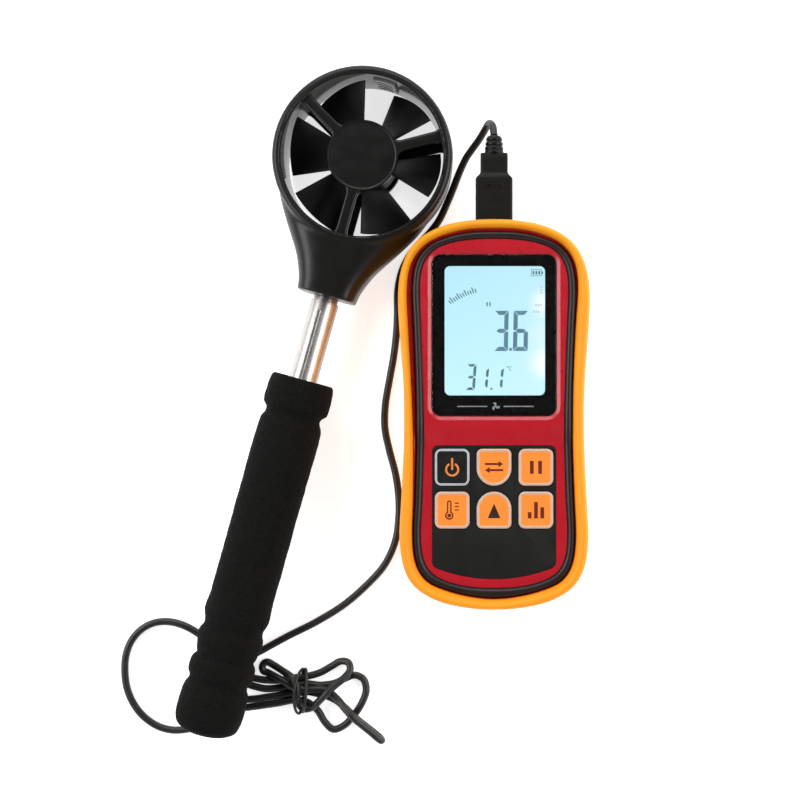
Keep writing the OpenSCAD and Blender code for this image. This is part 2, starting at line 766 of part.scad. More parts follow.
module head_front() {
    color([0.1, 0.1, 0.1]) probe_frame() {
        difference() {
            union() {
                intersection() {
                    head_body();
                    block([-50, -70, 0], [50, 50, 20]);
                }
                spider();
            }
            at_each(head_screw_at) translate([0, 0, -1]) cylinder(r = 1.1, h = 7);
        }
    }
}

module head_rear() {
    color([0.1, 0.1, 0.1]) probe_frame() {
        difference() {
            union() {
                intersection() {
                    head_body();
                    block([-50, -70, -20], [50, 50, 0]);
                }
                mirror([0, 0, 1]) spider();
            }
            // seat of the pulse sensor, round the bearing
            difference() {
                translate([0, 0, -hub_z - 1.6]) cylinder(r = 11, h = 3);
                translate([0, 0, -20]) cylinder(r = bearing_r + 1, h = 40);
            }
            at_each(head_screw_at) {
                translate([0, 0, -20]) cylinder(r = 1.3, h = 30);
                translate([0, 0, -20]) cylinder(r = 2.2, h = 12);
            }
        }
    }
}

head_screw_at = [[8.6, -52], [-8.6, -52], [17, -38.5], [-17, -38.5]];

module head_screws() {
    color("silver") probe_frame() at_each(head_screw_at) translate([0, 0, -9.6]) screw(2, 1.6, 1.1, 13);
}

module vent_cover() {
    color("gray") probe_frame() intersection() {
        difference() {
            block([-4.9, duct_r - 1.6, -7.9], [4.9, duct_r + 1, 7.9]);
            cylinder(r = duct_r - 0.9, h = 30, center = true, $fn = 96);
            // slots
            for (z = [-5, -2, 1, 4]) block([-3.4, 20, z], [3.4, duct_r + 0.3, z + 1.2]);
            block([-3.8, duct_r + 0.2, -6.5], [3.8, duct_r + 2, 6.5]);
        }
        cylinder(r = duct_r + 1.4, h = 30, center = true, $fn = 96);
    }
}

module thermistor() {
    color("peru") probe_frame() translate([0, duct_r + 1.2, -2]) cylinder(r = 0.8, h = 4);
}

module sensor_board() {
    color("darkgreen") probe_frame() difference() {
        translate([0, 0, -hub_z - 1.5]) cylinder(r = 10.8, h = 1);
        cylinder(r = bearing_r + 1.1, h = 60, center = true);
    }
}

module bearing() {
    translate([0, 0, hub_z]) difference() {
        cylinder(r = bearing_r, h = 2.2);
        translate([0, 0, -1]) cylinder(r = shaft_r + 0.04, h = 2.6);
    }
}
module front_bearing() { color("crimson") probe_frame() bearing(); }
module rear_bearing() { color("crimson") probe_frame() mirror([0, 0, 1]) bearing(); }

wheel_start = 44;       // angle of the first blade's front edge
blade_t = 1.1;
blade_cells = 4;

// A blade is part of a screw surface: u runs from its front edge to its back edge, v from hub to tip
function blade_point(u, v) =
    let (r = wheel_hub_r - 1.5 + v * (tip_r - wheel_hub_r + 1.5), a = u * blade_turn)
    [r * cos(a), r * sin(a), wheel_half * (1 - 2 * u)];
function blade_normal(u, v) =
    unit(cross(blade_point(u + 0.01, v) - blade_point(u, v), blade_point(u, v + 0.01) - blade_point(u, v)));

module blade() {
    n = blade_cells + 1;
    k = n * n;
    sheets = [for (s = [-1, 1], i = [0 : blade_cells], j = [0 : blade_cells])
        let (u = i / blade_cells, v = j / blade_cells)
        blade_point(u, v) + s * blade_t / 2 * blade_normal(u, v)];
    cells = [for (i = [0 : n - 2], j = [0 : n - 2]) i * n + j];
    rim = concat(
        [for (j = [0 : n - 2]) j], [for (i = [0 : n - 2]) n - 1 + i * n],
        [for (j = [0 : n - 2]) k - 1 - j], [for (i = [0 : n - 2]) (n - 1 - i) * n]);
    polyhedron(
        points = sheets,
        faces = concat(
            [for (a = cells) each [[a, a + n, a + n + 1], [a, a + n + 1, a + 1]]],
            [for (a = cells) each [[a + k, a + k + n + 1, a + k + n], [a + k, a + k + 1, a + k + n + 1]]],
            [for (q = [0 : len(rim) - 1]) let (a = rim[q], b = rim[(q + 1) % len(rim)])
                each [[a, b, b + k], [a, b + k, a + k]]]),
        convexity = 4
    );
}

module impeller() {
    color([0.07, 0.07, 0.07]) probe_frame() difference() {
        union() {
            translate([0, 0, -wheel_half + 0.2]) cylinder(r = wheel_hub_r, h = 2 * wheel_half - 0.4);
            for (i = [0 : blades - 1]) rotate(wheel_start + i * 360 / blades) blade();
        }
        cylinder(r = shaft_r, h = 60, center = true);
        for (a = [0, 180]) rotate(a) translate([8, 0, -20]) cylinder(r = 1.5, h = 13.4);
    }
}

module impeller_shaft() {
    color("silver") probe_frame() cylinder(r = shaft_r, h = 2 * (hub_z + 1.5), center = true);
}

module pulse_magnets() {
    color("silver") probe_frame() for (a = [0, 180]) rotate(a)
        translate([8, 0, -wheel_half + 0.2]) cylinder(r = 1.5, h = 2);
}

boot();
front_shell();
rear_shell();
trim_ring();
display_lens();
display_mask();
lcd_glass();
backlight();
lcd_frame();
contact_strips();
keypad_panel();
power_key();
unit_key();
hold_key();
temp_key();
up_key();
max_key();
key_contacts();
main_board();
board_chips();
buzzer();
board_screws();
probe_socket();
socket_tongue();
battery();
battery_snap();
battery_leads();
battery_door();
door_screw();
case_screws();
plug_shell();
plug_body();
plug_relief();
cable_lead();
cable_hank();
cable_loop();
cord_gland();
foam_grip();
handle_core();
base_tube();
coiled_lead();
mid_tube();
mid_bush();
inner_tube();
inner_bush();
head_front();
head_rear();
head_screws();
vent_cover();
thermistor();
sensor_board();
front_bearing();
rear_bearing();
impeller();
impeller_shaft();
pulse_magnets();
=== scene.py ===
"""Looks of the handheld weather meter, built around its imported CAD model. Metres, in its own frame."""
import json
from math import copysign, cos, dist, exp, pi, radians, sin, sqrt

import bmesh
import bpy
from mathutils import Matrix, Vector, noise
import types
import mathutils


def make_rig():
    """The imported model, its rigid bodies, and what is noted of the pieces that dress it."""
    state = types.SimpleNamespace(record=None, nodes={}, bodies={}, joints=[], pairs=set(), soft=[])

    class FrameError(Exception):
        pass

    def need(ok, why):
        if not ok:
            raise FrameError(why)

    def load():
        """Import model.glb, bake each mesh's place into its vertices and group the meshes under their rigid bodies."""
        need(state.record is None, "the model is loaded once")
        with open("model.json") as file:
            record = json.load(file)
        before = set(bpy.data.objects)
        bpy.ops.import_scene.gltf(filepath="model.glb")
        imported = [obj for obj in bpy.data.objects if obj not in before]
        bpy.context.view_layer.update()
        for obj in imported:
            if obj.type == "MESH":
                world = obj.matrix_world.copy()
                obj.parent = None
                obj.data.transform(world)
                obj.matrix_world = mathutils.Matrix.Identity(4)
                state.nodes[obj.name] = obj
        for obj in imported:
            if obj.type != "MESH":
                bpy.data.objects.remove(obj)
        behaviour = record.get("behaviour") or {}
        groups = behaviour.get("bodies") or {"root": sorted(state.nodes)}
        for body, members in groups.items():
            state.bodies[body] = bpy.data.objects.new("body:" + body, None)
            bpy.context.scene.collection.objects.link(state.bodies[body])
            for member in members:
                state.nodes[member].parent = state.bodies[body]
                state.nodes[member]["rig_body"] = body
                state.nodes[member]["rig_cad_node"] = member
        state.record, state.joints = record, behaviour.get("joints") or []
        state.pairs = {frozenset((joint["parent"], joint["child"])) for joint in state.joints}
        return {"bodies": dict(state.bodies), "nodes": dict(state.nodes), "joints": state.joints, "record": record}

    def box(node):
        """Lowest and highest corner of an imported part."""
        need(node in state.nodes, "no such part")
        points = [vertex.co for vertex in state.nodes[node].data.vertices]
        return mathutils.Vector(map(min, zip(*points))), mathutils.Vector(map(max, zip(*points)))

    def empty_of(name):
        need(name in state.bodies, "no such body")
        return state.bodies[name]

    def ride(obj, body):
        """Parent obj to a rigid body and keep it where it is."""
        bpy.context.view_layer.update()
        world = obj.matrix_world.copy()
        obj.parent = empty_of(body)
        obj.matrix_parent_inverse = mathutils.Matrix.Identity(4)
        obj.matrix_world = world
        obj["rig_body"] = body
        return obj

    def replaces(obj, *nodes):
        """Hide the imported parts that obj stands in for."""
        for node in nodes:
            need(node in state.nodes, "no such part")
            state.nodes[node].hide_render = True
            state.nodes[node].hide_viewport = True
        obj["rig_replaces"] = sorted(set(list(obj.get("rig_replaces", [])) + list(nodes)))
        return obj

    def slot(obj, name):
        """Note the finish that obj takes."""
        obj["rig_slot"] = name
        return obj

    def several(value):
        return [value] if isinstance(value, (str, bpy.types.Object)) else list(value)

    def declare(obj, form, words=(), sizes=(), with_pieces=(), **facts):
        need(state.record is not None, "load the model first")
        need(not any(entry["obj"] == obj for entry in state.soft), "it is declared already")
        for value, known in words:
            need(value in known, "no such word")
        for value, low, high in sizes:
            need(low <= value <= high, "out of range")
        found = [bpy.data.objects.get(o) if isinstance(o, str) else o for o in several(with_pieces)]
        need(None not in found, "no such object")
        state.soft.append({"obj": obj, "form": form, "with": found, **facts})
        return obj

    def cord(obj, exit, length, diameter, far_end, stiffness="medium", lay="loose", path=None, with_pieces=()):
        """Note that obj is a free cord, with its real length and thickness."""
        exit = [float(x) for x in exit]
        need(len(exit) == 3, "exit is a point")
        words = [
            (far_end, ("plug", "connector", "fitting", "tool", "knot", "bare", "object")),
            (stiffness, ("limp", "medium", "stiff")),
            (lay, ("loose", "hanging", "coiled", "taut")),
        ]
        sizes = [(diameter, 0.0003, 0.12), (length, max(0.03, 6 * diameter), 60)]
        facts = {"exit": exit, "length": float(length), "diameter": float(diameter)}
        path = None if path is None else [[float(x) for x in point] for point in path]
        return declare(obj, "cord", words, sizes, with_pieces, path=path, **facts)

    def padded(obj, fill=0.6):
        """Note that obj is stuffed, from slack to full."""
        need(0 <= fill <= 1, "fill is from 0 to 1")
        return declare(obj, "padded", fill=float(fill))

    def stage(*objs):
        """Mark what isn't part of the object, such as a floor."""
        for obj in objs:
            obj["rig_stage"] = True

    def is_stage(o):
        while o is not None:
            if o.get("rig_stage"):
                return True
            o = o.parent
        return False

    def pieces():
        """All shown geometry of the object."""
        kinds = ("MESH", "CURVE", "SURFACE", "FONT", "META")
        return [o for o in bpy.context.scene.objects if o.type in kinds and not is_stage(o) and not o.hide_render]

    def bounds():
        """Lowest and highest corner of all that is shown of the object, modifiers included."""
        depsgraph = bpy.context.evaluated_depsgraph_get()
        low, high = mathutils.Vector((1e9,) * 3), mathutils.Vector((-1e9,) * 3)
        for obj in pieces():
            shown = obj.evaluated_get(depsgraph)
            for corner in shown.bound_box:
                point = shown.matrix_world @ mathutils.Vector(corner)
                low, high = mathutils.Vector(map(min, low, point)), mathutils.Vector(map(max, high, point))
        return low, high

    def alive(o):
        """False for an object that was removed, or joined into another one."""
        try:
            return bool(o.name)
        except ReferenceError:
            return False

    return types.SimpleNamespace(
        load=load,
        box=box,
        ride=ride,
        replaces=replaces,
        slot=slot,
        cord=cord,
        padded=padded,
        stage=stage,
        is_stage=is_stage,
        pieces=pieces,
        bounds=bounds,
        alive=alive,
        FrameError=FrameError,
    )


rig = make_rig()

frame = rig.load()
cad_box = [list(c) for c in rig.bounds()]
record = frame["record"]
BODY = {n: b for b, nodes in record["behaviour"]["bodies"].items() for n in nodes}
SLOT = {s["node"]: s["material_slot"] for s in record["subparts"]}
JOINT = {j["name"]: j for j in record["behaviour"]["joints"]}
MM = 0.001
scene = bpy.context.scene

# The probe's own frame: head centre at the origin, handle along -Y, air through Z. Built in mm.
head_at = Vector(JOINT["vane_spin"]["pos_m"])
head_z = Vector(JOINT["vane_spin"]["axis"]).normalized()
head_y = Vector(JOINT["head_slide"]["axis"]).normalized()
head_x = head_y.cross(head_z)
PROBE = (Matrix.Translation(head_at) @ Matrix((head_x, head_y, head_z)).transposed().to_4x4()
         @ Matrix.Scale(MM, 4))
METER = Matrix.Scale(MM, 4)
PLUG_Z = 20.6        # height of the plug's axis
MASK_SINK = 0.04     # the printed border lies this much under its CAD place, clear of the lens


def moved(x, y, z=0):
    """The meter's frame with its origin moved, in mm."""
    return METER @ Matrix.Translation((x, y, z))


def add_object(name, data):
    ob = bpy.data.objects.new(name, data)
    scene.collection.objects.link(ob)
    return ob


# ---------- camera
def add_camera():
    data = bpy.data.cameras.new("camera")
    data.sensor_width = 36
    data.lens = 60.3
    data.shift_x = -0.12
    data.shift_y = 0.00875
    data.clip_start = 0.01
    cam = add_object("camera", data)
    cam.location = (0.0008, 0.0031, 0.588)
    scene.camera = cam


add_camera()


# ---------- materials
class Nodes:
    """Short names for building one material's node tree."""

    def __init__(self, name):
        self.mat = bpy.data.materials.new(name)
        self.mat.use_nodes = True
        self.tree = self.mat.node_tree
        self.bsdf = next(n for n in self.tree.nodes if n.type == "BSDF_PRINCIPLED")
        self.place = self.new("ShaderNodeTexCoord").outputs["Object"]

    def new(self, kind, sockets=None, **values):
        node = self.tree.nodes.new(kind)
        for key, value in values.items():
            setattr(node, key, value)
        for key, value in (sockets or {}).items():
            node.inputs[key].default_value = value
        return node

    def link(self, a, b):
        self.tree.links.new(a, b)

    def feed(self, value, socket):
        self.link(value, self.bsdf.inputs[socket])

    def drift(self, size_mm, a, b, detail=3.0):
        """Slow change between two colours."""
        return self.mix(self.span(self.noise(size_mm, detail), 0, 1), a, b)

    def noise(self, size_mm, detail=3.0, rough=0.55):
        sockets = {"Scale": 1000.0 / size_mm, "Detail": detail, "Roughness": rough}
        n = self.new("ShaderNodeTexNoise", sockets)
        self.link(self.place, n.inputs["Vector"])
        return n.outputs["Fac"]

    def cells(self, size_mm):
        v = self.new("ShaderNodeTexVoronoi", {"Scale": 1000.0 / size_mm, "Randomness": 1.0})
        self.link(self.place, v.inputs["Vector"])
        return v.outputs["Distance"]

    def span(self, value, low, high, from_low=0.3, from_high=0.7, **values):
        """Maps the range from_low to from_high onto low to high."""
        sockets = {"From Min": from_low, "From Max": from_high, "To Min": low, "To Max": high}
        m = self.new("ShaderNodeMapRange", sockets, **values)
        self.link(value, m.inputs["Value"])
        return m.outputs["Result"]

    def mix(self, fac, a, b):
        m = self.new("ShaderNodeMix", data_type="RGBA")
        self.link(fac, m.inputs["Factor"])
        for sock, value in ((m.inputs[6], a), (m.inputs[7], b)):
            if isinstance(value, (tuple, list)):
                sock.default_value = (*value[:3], 1)
            else:
                self.link(value, sock)
        return m.outputs[2]

    def bump(self, *layers):
        """layers: (height socket, depth in mm)"""
        normal = None
        for height, depth in layers:
            b = self.new("ShaderNodeBump", {"Strength": 1.0, "Distance": depth * MM})
            self.link(height, b.inputs["Height"])
            if normal is not None:
                self.link(normal, b.inputs["Normal"])
            normal = b.outputs["Normal"]
        self.link(normal, self.bsdf.inputs["Normal"])

    def set(self, **values):
        for key, value in values.items():
            self.bsdf.inputs[key.replace("_", " ")].default_value = value


def moulded(name, colour, rough, shade=0.1, patch=9, grain=0.25, depth=0.004, spread=0.06, spec=0.5):
    """Moulded plastic or rubber: slow colour drift, uneven sheen, fine mould texture."""
    n = Nodes(name)
    dark = tuple(c * (1 - shade) for c in colour)
    light = tuple(min(1, c * (1 + shade * 0.6)) for c in colour)
    n.feed(n.drift(patch, dark, light), "Base Color")
    n.feed(n.span(n.noise(patch * 0.37, 4), rough - spread, rough + spread), "Roughness")
    n.bump((n.noise(grain, 2, 0.5), depth))
    n.set(Specular_IOR_Level=spec)
    return n.mat


def metal(name, colour, rough, size=0.6, depth=0.0015):
    """Bright or brushed metal with a slow tint and uneven polish."""
    n = Nodes(name)
    n.set(Metallic=1.0)
    n.feed(n.drift(14, tuple(c * 0.93 for c in colour), colour), "Base Color")
    streaks = n.noise(size, 4, 0.6)
    n.feed(n.span(streaks, rough * 0.65, rough * 1.5), "Roughness")
    n.bump((streaks, depth))
    return n.mat


def head_material():
    """Satin black outside and glossy on the air duct's wall, told apart by distance from its axis; the wall's paler
    grey base colour is a painted reflection of the bright surroundings seen at a grazing angle.
    """
    n = Nodes("head_black")
    offset = n.new("ShaderNodeVectorMath", {1: head_at}, operation="SUBTRACT")
    n.link(n.place, offset.inputs[0])
    across = n.new("ShaderNodeVectorMath", {1: head_z}, operation="CROSS_PRODUCT")
    n.link(offset.outputs["Vector"], across.inputs[0])
    radius = n.new("ShaderNodeVectorMath", operation="LENGTH")
    n.link(across.outputs["Vector"], radius.inputs[0])
    wall = n.new("ShaderNodeMath", operation="MULTIPLY")
    n.link(n.span(radius.outputs["Value"], 0, 1, 0.0337, 0.0338), wall.inputs[0])
    n.link(n.span(radius.outputs["Value"], 1, 0, 0.03403, 0.03412), wall.inputs[1])
    black = n.drift(18, (0.006, 0.006, 0.0056), (0.0085, 0.0085, 0.008))
    # painted reflection: the duct wall is the same black plastic, made grey here to stand for the light it reflects at
    # a grazing angle
    painted_wall_reflection = n.drift(9, (0.10, 0.10, 0.098), (0.14, 0.14, 0.137))
    n.feed(n.mix(wall.outputs["Value"], black, painted_wall_reflection), "Base Color")
    m = n.new("ShaderNodeMix", data_type="FLOAT")
    n.link(wall.outputs["Value"], m.inputs["Factor"])
    n.link(n.span(n.noise(6.7, 4), 0.29, 0.37), m.inputs[2])
    m.inputs[3].default_value = 0.16
    n.feed(m.outputs[0], "Roughness")
    n.bump((n.noise(0.28, 2, 0.5), 0.0025))
    n.set(Specular_IOR_Level=0.3)
    return n.mat


def foam_material():
    n = Nodes("foam")
    n.feed(n.mix(n.span(n.cells(0.55), 0, 1, 0.05, 0.6), (0.0018, 0.0018, 0.0018), (0.0080, 0.0080, 0.0075)),
        "Base Color")
    n.feed(n.span(n.noise(4), 0.82, 0.97), "Roughness")
    n.bump((n.noise(2.6, 3), 0.10), (n.cells(0.55), 0.09), (n.noise(0.22, 2), 0.03))
    n.set(Specular_IOR_Level=0.06, Sheen_Weight=0.01, Sheen_Roughness=0.5)
    return n.mat


def cord_material():
    n = Nodes("cord")
    n.feed(n.drift(6, (0.008, 0.008, 0.0075), (0.018, 0.017, 0.016)), "Base Color")
    n.feed(n.span(n.noise(1.5, 4), 0.34, 0.5), "Roughness")
    n.bump((n.noise(1.1, 3), 0.02), (n.noise(0.2, 2), 0.004))
    return n.mat


def display_material():
    """Lit display: pale blue, brighter towards the lamps along its right edge."""
    n = Nodes("display_light")
    low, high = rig.box("lcd_glass")
    cx, cy = (low[0] + high[0]) / 2, (low[1] + high[1]) / 2
    glow = None
    for x, y, r, a in ((0.0215, 0.0215, 0.011, 1.0), (0.0215, 0.046, 0.010, 0.9),
            (0.0215, 0.033, 0.012, 0.35)):
        d = n.new("ShaderNodeVectorMath", {1: (x, y, high[2])}, operation="DISTANCE")
        n.link(n.place, d.inputs[0])
        spot = n.span(d.outputs["Value"], 0.0, a, r, 0.0, interpolation_type="SMOOTHERSTEP")
        if glow is None:
            glow = spot
        else:
            brighter = n.new("ShaderNodeMath", operation="MAXIMUM")
            n.link(glow, brighter.inputs[0])
            n.link(spot, brighter.inputs[1])
            glow = brighter.outputs["Value"]
    split = n.new("ShaderNodeSeparateXYZ")
    n.link(n.place, split.inputs[0])
    down = n.span(split.outputs["Y"], 0, 1, cy - 0.03, cy + 0.03)
    across = n.span(split.outputs["X"], 0, 1, cx - 0.02, cx + 0.02)
    ground = n.mix(down, (0.60, 0.93, 1.0), (0.47, 0.80, 0.93))
    ground = n.mix(n.span(across, 0, 0.35, 0, 1), ground, (0.66, 0.93, 1.0))
    ground = n.mix(n.span(n.noise(16, 2), 0, 0.16), ground, (0.50, 0.85, 0.97))
    n.feed(n.mix(glow, ground, (0.98, 1.0, 1.0)), "Emission Color")
    n.set(Emission_Strength=1.08, Roughness=0.35)
    n.bsdf.inputs["Base Color"].default_value = (0.03, 0.05, 0.055, 1)
    return n.mat


def clear_material():
    n = Nodes("clear_window")
    n.bsdf.inputs["Base Color"].default_value = (0.97, 0.99, 1.0, 1)
    n.feed(n.span(n.noise(11, 3), 0.01, 0.045), "Roughness")
    n.bump((n.noise(18, 1), 0.004))
    n.set(Transmission_Weight=1.0, IOR=1.47)
    return n.mat


INK = dict(shade=0.1, patch=4, grain=0.3, depth=0.001)
SEGMENT = dict(shade=0.08, patch=5, grain=0.3, depth=0.0005)
MOULDED = {    # colour, roughness, and what differs from the usual
    "boot_rubber": ((0.98, 0.335, 0.009), 0.46,
        dict(shade=0.05, patch=22, grain=0.3, depth=0.006, spec=0.28)),
    "red_plastic": ((0.44, 0.0098, 0.0195), 0.29, dict(shade=0.05, patch=16, grain=0.22, depth=0.003)),
    "black_plastic": ((0.014, 0.014, 0.015), 0.55, dict(grain=0.5, depth=0.014)),
    "gloss_black": ((0.013, 0.0090, 0.0088), 0.4, dict(grain=0.8, depth=0.0012, spread=0.05, spec=0.4)),
    "black_ink": ((0.0022, 0.0026, 0.0022), 0.30, dict(grain=0.4, depth=0.001, spec=0.2)),
    "light_guide": ((0.80, 0.92, 0.98), 0.25, dict(shade=0.03)),
    "white_plastic": ((0.78, 0.78, 0.76), 0.45, dict(shade=0.04)),
    "elastomer": ((0.72, 0.38, 0.40), 0.6, dict(shade=0.08)),
    "keypad_black": ((0.0102, 0.0104, 0.0094), 0.5,
        dict(shade=0.14, patch=20, grain=0.35, depth=0.006, spec=0.22)),
    "key_black": ((0.0065, 0.0065, 0.006), 0.42, dict(grain=0.3, depth=0.004)),
    "key_orange": ((0.98, 0.268, 0.036), 0.42, dict(shade=0.04, patch=7, grain=0.3, depth=0.004)),
    "key_rim": ((0.62, 0.44, 0.34), 0.35, dict(shade=0.06, patch=6, grain=0.4, depth=0.002)),
    "key_rim_grey": ((0.43, 0.46, 0.49), 0.3, dict(shade=0.08, patch=6, grain=0.4, depth=0.002)),
    "ink_brown": ((0.14, 0.014, 0.006), 0.45, INK),
    "ink_dark": ((0.030, 0.012, 0.008), 0.45, INK),
    "ink_orange": ((0.78, 0.25, 0.055), 0.4, dict(INK, shade=0.08)),
    "ink_pale": ((0.62, 0.62, 0.62), 0.4, dict(INK, shade=0.06)),
    "segment": ((0.21, 0.43, 0.56), 0.4, SEGMENT),
    "segment_small": ((0.17, 0.34, 0.41), 0.4, SEGMENT),
    "segment_thin": ((0.13, 0.21, 0.25), 0.4, dict(SEGMENT, shade=0.12, patch=3)),
    "board_green": ((0.012, 0.13, 0.05), 0.35, dict(shade=0.2, patch=5, grain=1.2, depth=0.01)),
    "chip_black": ((0.018, 0.018, 0.018), 0.5, dict(grain=0.2, depth=0.004)),
    "battery_case": ((0.05, 0.06, 0.09), 0.32, dict(shade=0.2, patch=12)),
    "lead_wire": ((0.30, 0.015, 0.015), 0.4),
    "plug_rubber": ((0.0085, 0.0085, 0.0075), 0.42,
        dict(shade=0.14, patch=6, grain=0.35, depth=0.010, spec=0.2)),
    "duct_grey": ((0.13, 0.13, 0.127), 0.2, dict(shade=0.12, patch=6, grain=0.28, depth=0.0025)),
    "spoke_black": ((0.0072, 0.0072, 0.0068), 0.33, dict(patch=18, grain=0.28, depth=0.0025, spec=0.3)),
    "vane_black": ((0.0045, 0.0045, 0.0042), 0.5,
        dict(shade=0.15, patch=8, grain=0.3, depth=0.005, spec=0.2)),
    "jewel": ((0.5, 0.02, 0.07), 0.12, dict(shade=0.1)),
    "sensor_bead": ((0.40, 0.20, 0.07), 0.4, dict(shade=0.2, patch=1.5)),
    "tie_wire": ((0.012, 0.012, 0.012), 0.4, dict(grain=0.2, depth=0.006)),
}
METALS = {
    "spring_metal": ((0.74, 0.74, 0.72), 0.22),
    "screw_steel": ((0.60, 0.60, 0.62), 0.28, dict(size=0.3)),
    "plated_metal": ((0.78, 0.78, 0.78), 0.2, dict(size=0.5)),
    "tube_chrome": ((0.56, 0.54, 0.52), 0.34, dict(size=0.5, depth=0.0003)),
    "bush_brass": ((0.68, 0.50, 0.24), 0.3),
}
M = {
    "cord_black": cord_material(),
    "foam_black": foam_material(),
    "head_black": head_material(),
    "clear_window": clear_material(),
    "display_blue": display_material(),
}
for make, looks in ((moulded, MOULDED), (metal, METALS)):
    for key, (tint, polish, *more) in looks.items():
        M[key] = make(key, tint, polish, **(more[0] if more else {}))


# ---------- mesh helpers
SMOOTH_ANGLE = 32    # edges of a bevelled piece stay sharp above this many degrees


def finish_mesh(me, sharp=None):
    me.shade_smooth()
    if sharp is not None:
        me.set_sharp_from_angle(angle=radians(sharp))


def clean(me, weld=False):
    """Merges points that coincide, if asked, and turns the faces outwards."""
    bm = bmesh.new()
    bm.from_mesh(me)
    if weld:
        bmesh.ops.remove_doubles(bm, verts=bm.verts, dist=1e-8)
        bmesh.ops.dissolve_degenerate(bm, edges=bm.edges, dist=1e-8)
    bmesh.ops.recalc_face_normals(bm, faces=bm.faces)
    bm.to_mesh(me)
    bm.free()


def new_object(name, verts, faces, place=METER, sharp=35):
    me = bpy.data.meshes.new(name)
    me.from_pydata([place @ Vector(v) for v in verts], [], faces)
    clean(me)
    finish_mesh(me, sharp)
    return add_object(name, me)


def applied(ob, sharp=None):
    """Bakes the object's modifiers into its mesh."""
    dg = bpy.context.evaluated_depsgraph_get()
    dg.update()
    me = bpy.data.meshes.new_from_object(ob.evaluated_get(dg))
    old = ob.data
    ob.modifiers.clear()
    ob.data = me
    bpy.data.meshes.remove(old)
    if sharp is not None:
        finish_mesh(me, sharp)
    return ob


def modifier(ob, kind, **values):
    m = ob.modifiers.new(kind.lower(), kind)
    for key, value in values.items():
        setattr(m, key, value)
    return m


def cut(ob, tool, operation="DIFFERENCE", sharp=None):
    modifier(ob, "BOOLEAN", operation=operation, object=tool, solver="EXACT")
    applied(ob, sharp)
    me = tool.data
    bpy.data.objects.remove(tool)
    bpy.data.meshes.remove(me)
    return ob


def bevelled(ob, width, segments=2, angle=32):
    modifier(ob, "BEVEL", width=width * MM, segments=segments, limit_method="ANGLE",
             angle_limit=radians(angle), use_clamp_overlap=True)
    return applied(ob, SMOOTH_ANGLE)


def paint(ob, material):
    ob.data.materials.clear()
    ob.data.materials.append(M[material])


def dress(ob, body, slot, material=None, nodes=()):
    paint(ob, material or slot)
    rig.ride(ob, body)
    if nodes:
        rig.replaces(ob, *nodes)
    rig.slot(ob, slot)
    return ob


def closed_loft(name, rings, place=METER, sharp=None):
    """rings of equal length, joined round both ways: a ring-shaped body."""
    n, m = len(rings), len(rings[0])
    faces = [(i * m + j, (i + 1) % n * m + j, (i + 1) % n * m + (j + 1) % m, i * m + (j + 1) % m)
             for i in range(n) for j in range(m)]
    return new_object(name, [p for r in rings for p in r], faces, place, sharp)


def open_loft(name, rings, place=METER, sharp=35):
    n, m = len(rings), len(rings[0])
    faces = [(i * m + j, (i + 1) * m + j, (i + 1) * m + (j + 1) % m, i * m + (j + 1) % m)
             for i in range(n - 1) for j in range(m)]
    faces += [tuple(range(m)), tuple((n - 1) * m + j for j in reversed(range(m)))]
    return new_object(name, [p for r in rings for p in r], faces, place, sharp)


def lathe(name, profile, place=METER, steps=128, axis="z", sharp=35, wobble=None):
    """profile: closed loop of (radius, height); points on the axis are merged."""
    rings = []
    for k in range(steps):
        a = 2 * pi * k / steps
        ring = []
        for r, h in profile:
            if wobble and r > 1e-6:
                r += wobble(a, h, r)
            x, y = r * cos(a), r * sin(a)
            ring.append((x, y, h) if axis == "z" else (x, -h, y))
        rings.append(ring)
    ob = closed_loft(name, rings, place, None)
    clean(ob.data, weld=True)
    finish_mesh(ob.data, sharp)
    return ob


def prism(name, outline, z0, z1, place=METER):
    return open_loft(name, [[(x, y, z0) for x, y in outline], [(x, y, z1) for x, y in outline]], place)


def arc(cx, cy, r, a0, a1, n=8):
    turns = [radians(a0 + (a1 - a0) * k / n) for k in range(n + 1)]
    return [(cx + r * cos(a), cy + r * sin(a)) for a in turns]


def rounded(w, l, r, cx=0.0, cy=0.0, n=8):
    x, y = w / 2 - r, l / 2 - r
    return (arc(cx + x, cy + y, r, 0, 90, n) + arc(cx - x, cy + y, r, 90, 180, n)
            + arc(cx - x, cy - y, r, 180, 270, n) + arc(cx + x, cy - y, r, 270, 360, n))


def join(name, objects):
    bm = bmesh.new()
    for o in objects:
        bm.from_mesh(o.data)
    me = bpy.data.meshes.new(name)
    bm.to_mesh(me)
    bm.free()
    for o in objects:
        old = o.data
        bpy.data.objects.remove(o)
        bpy.data.meshes.remove(old)
    me.shade_smooth()
    return add_object(name, me)


def refine(node, bevel=0.2, segments=2, angle=32, material=None, lift=0.0):
    """A copy of a CAD node with its flat faces cleaned and its edges rounded."""
    src = frame["nodes"][node]
    bm = bmesh.new()
    bm.from_mesh(src.data)
    bmesh.ops.transform(bm, matrix=src.matrix_world, verts=bm.verts)
    bmesh.ops.remove_doubles(bm, verts=bm.verts, dist=2e-6)
    bmesh.ops.dissolve_limit(bm, angle_limit=radians(1.2), verts=bm.verts, edges=bm.edges, delimit=set())
    if lift:
        for v in bm.verts:
            v.co.z += lift * MM
    me = bpy.data.meshes.new(node + "_shape")
    bm.to_mesh(me)
    bm.free()
    ob = add_object(node + "_shape", me)
    finish_mesh(me, SMOOTH_ANGLE)
    if bevel:
        bevelled(ob, bevel, segments, angle)
    return dress(ob, BODY[node], SLOT[node], material, [node])


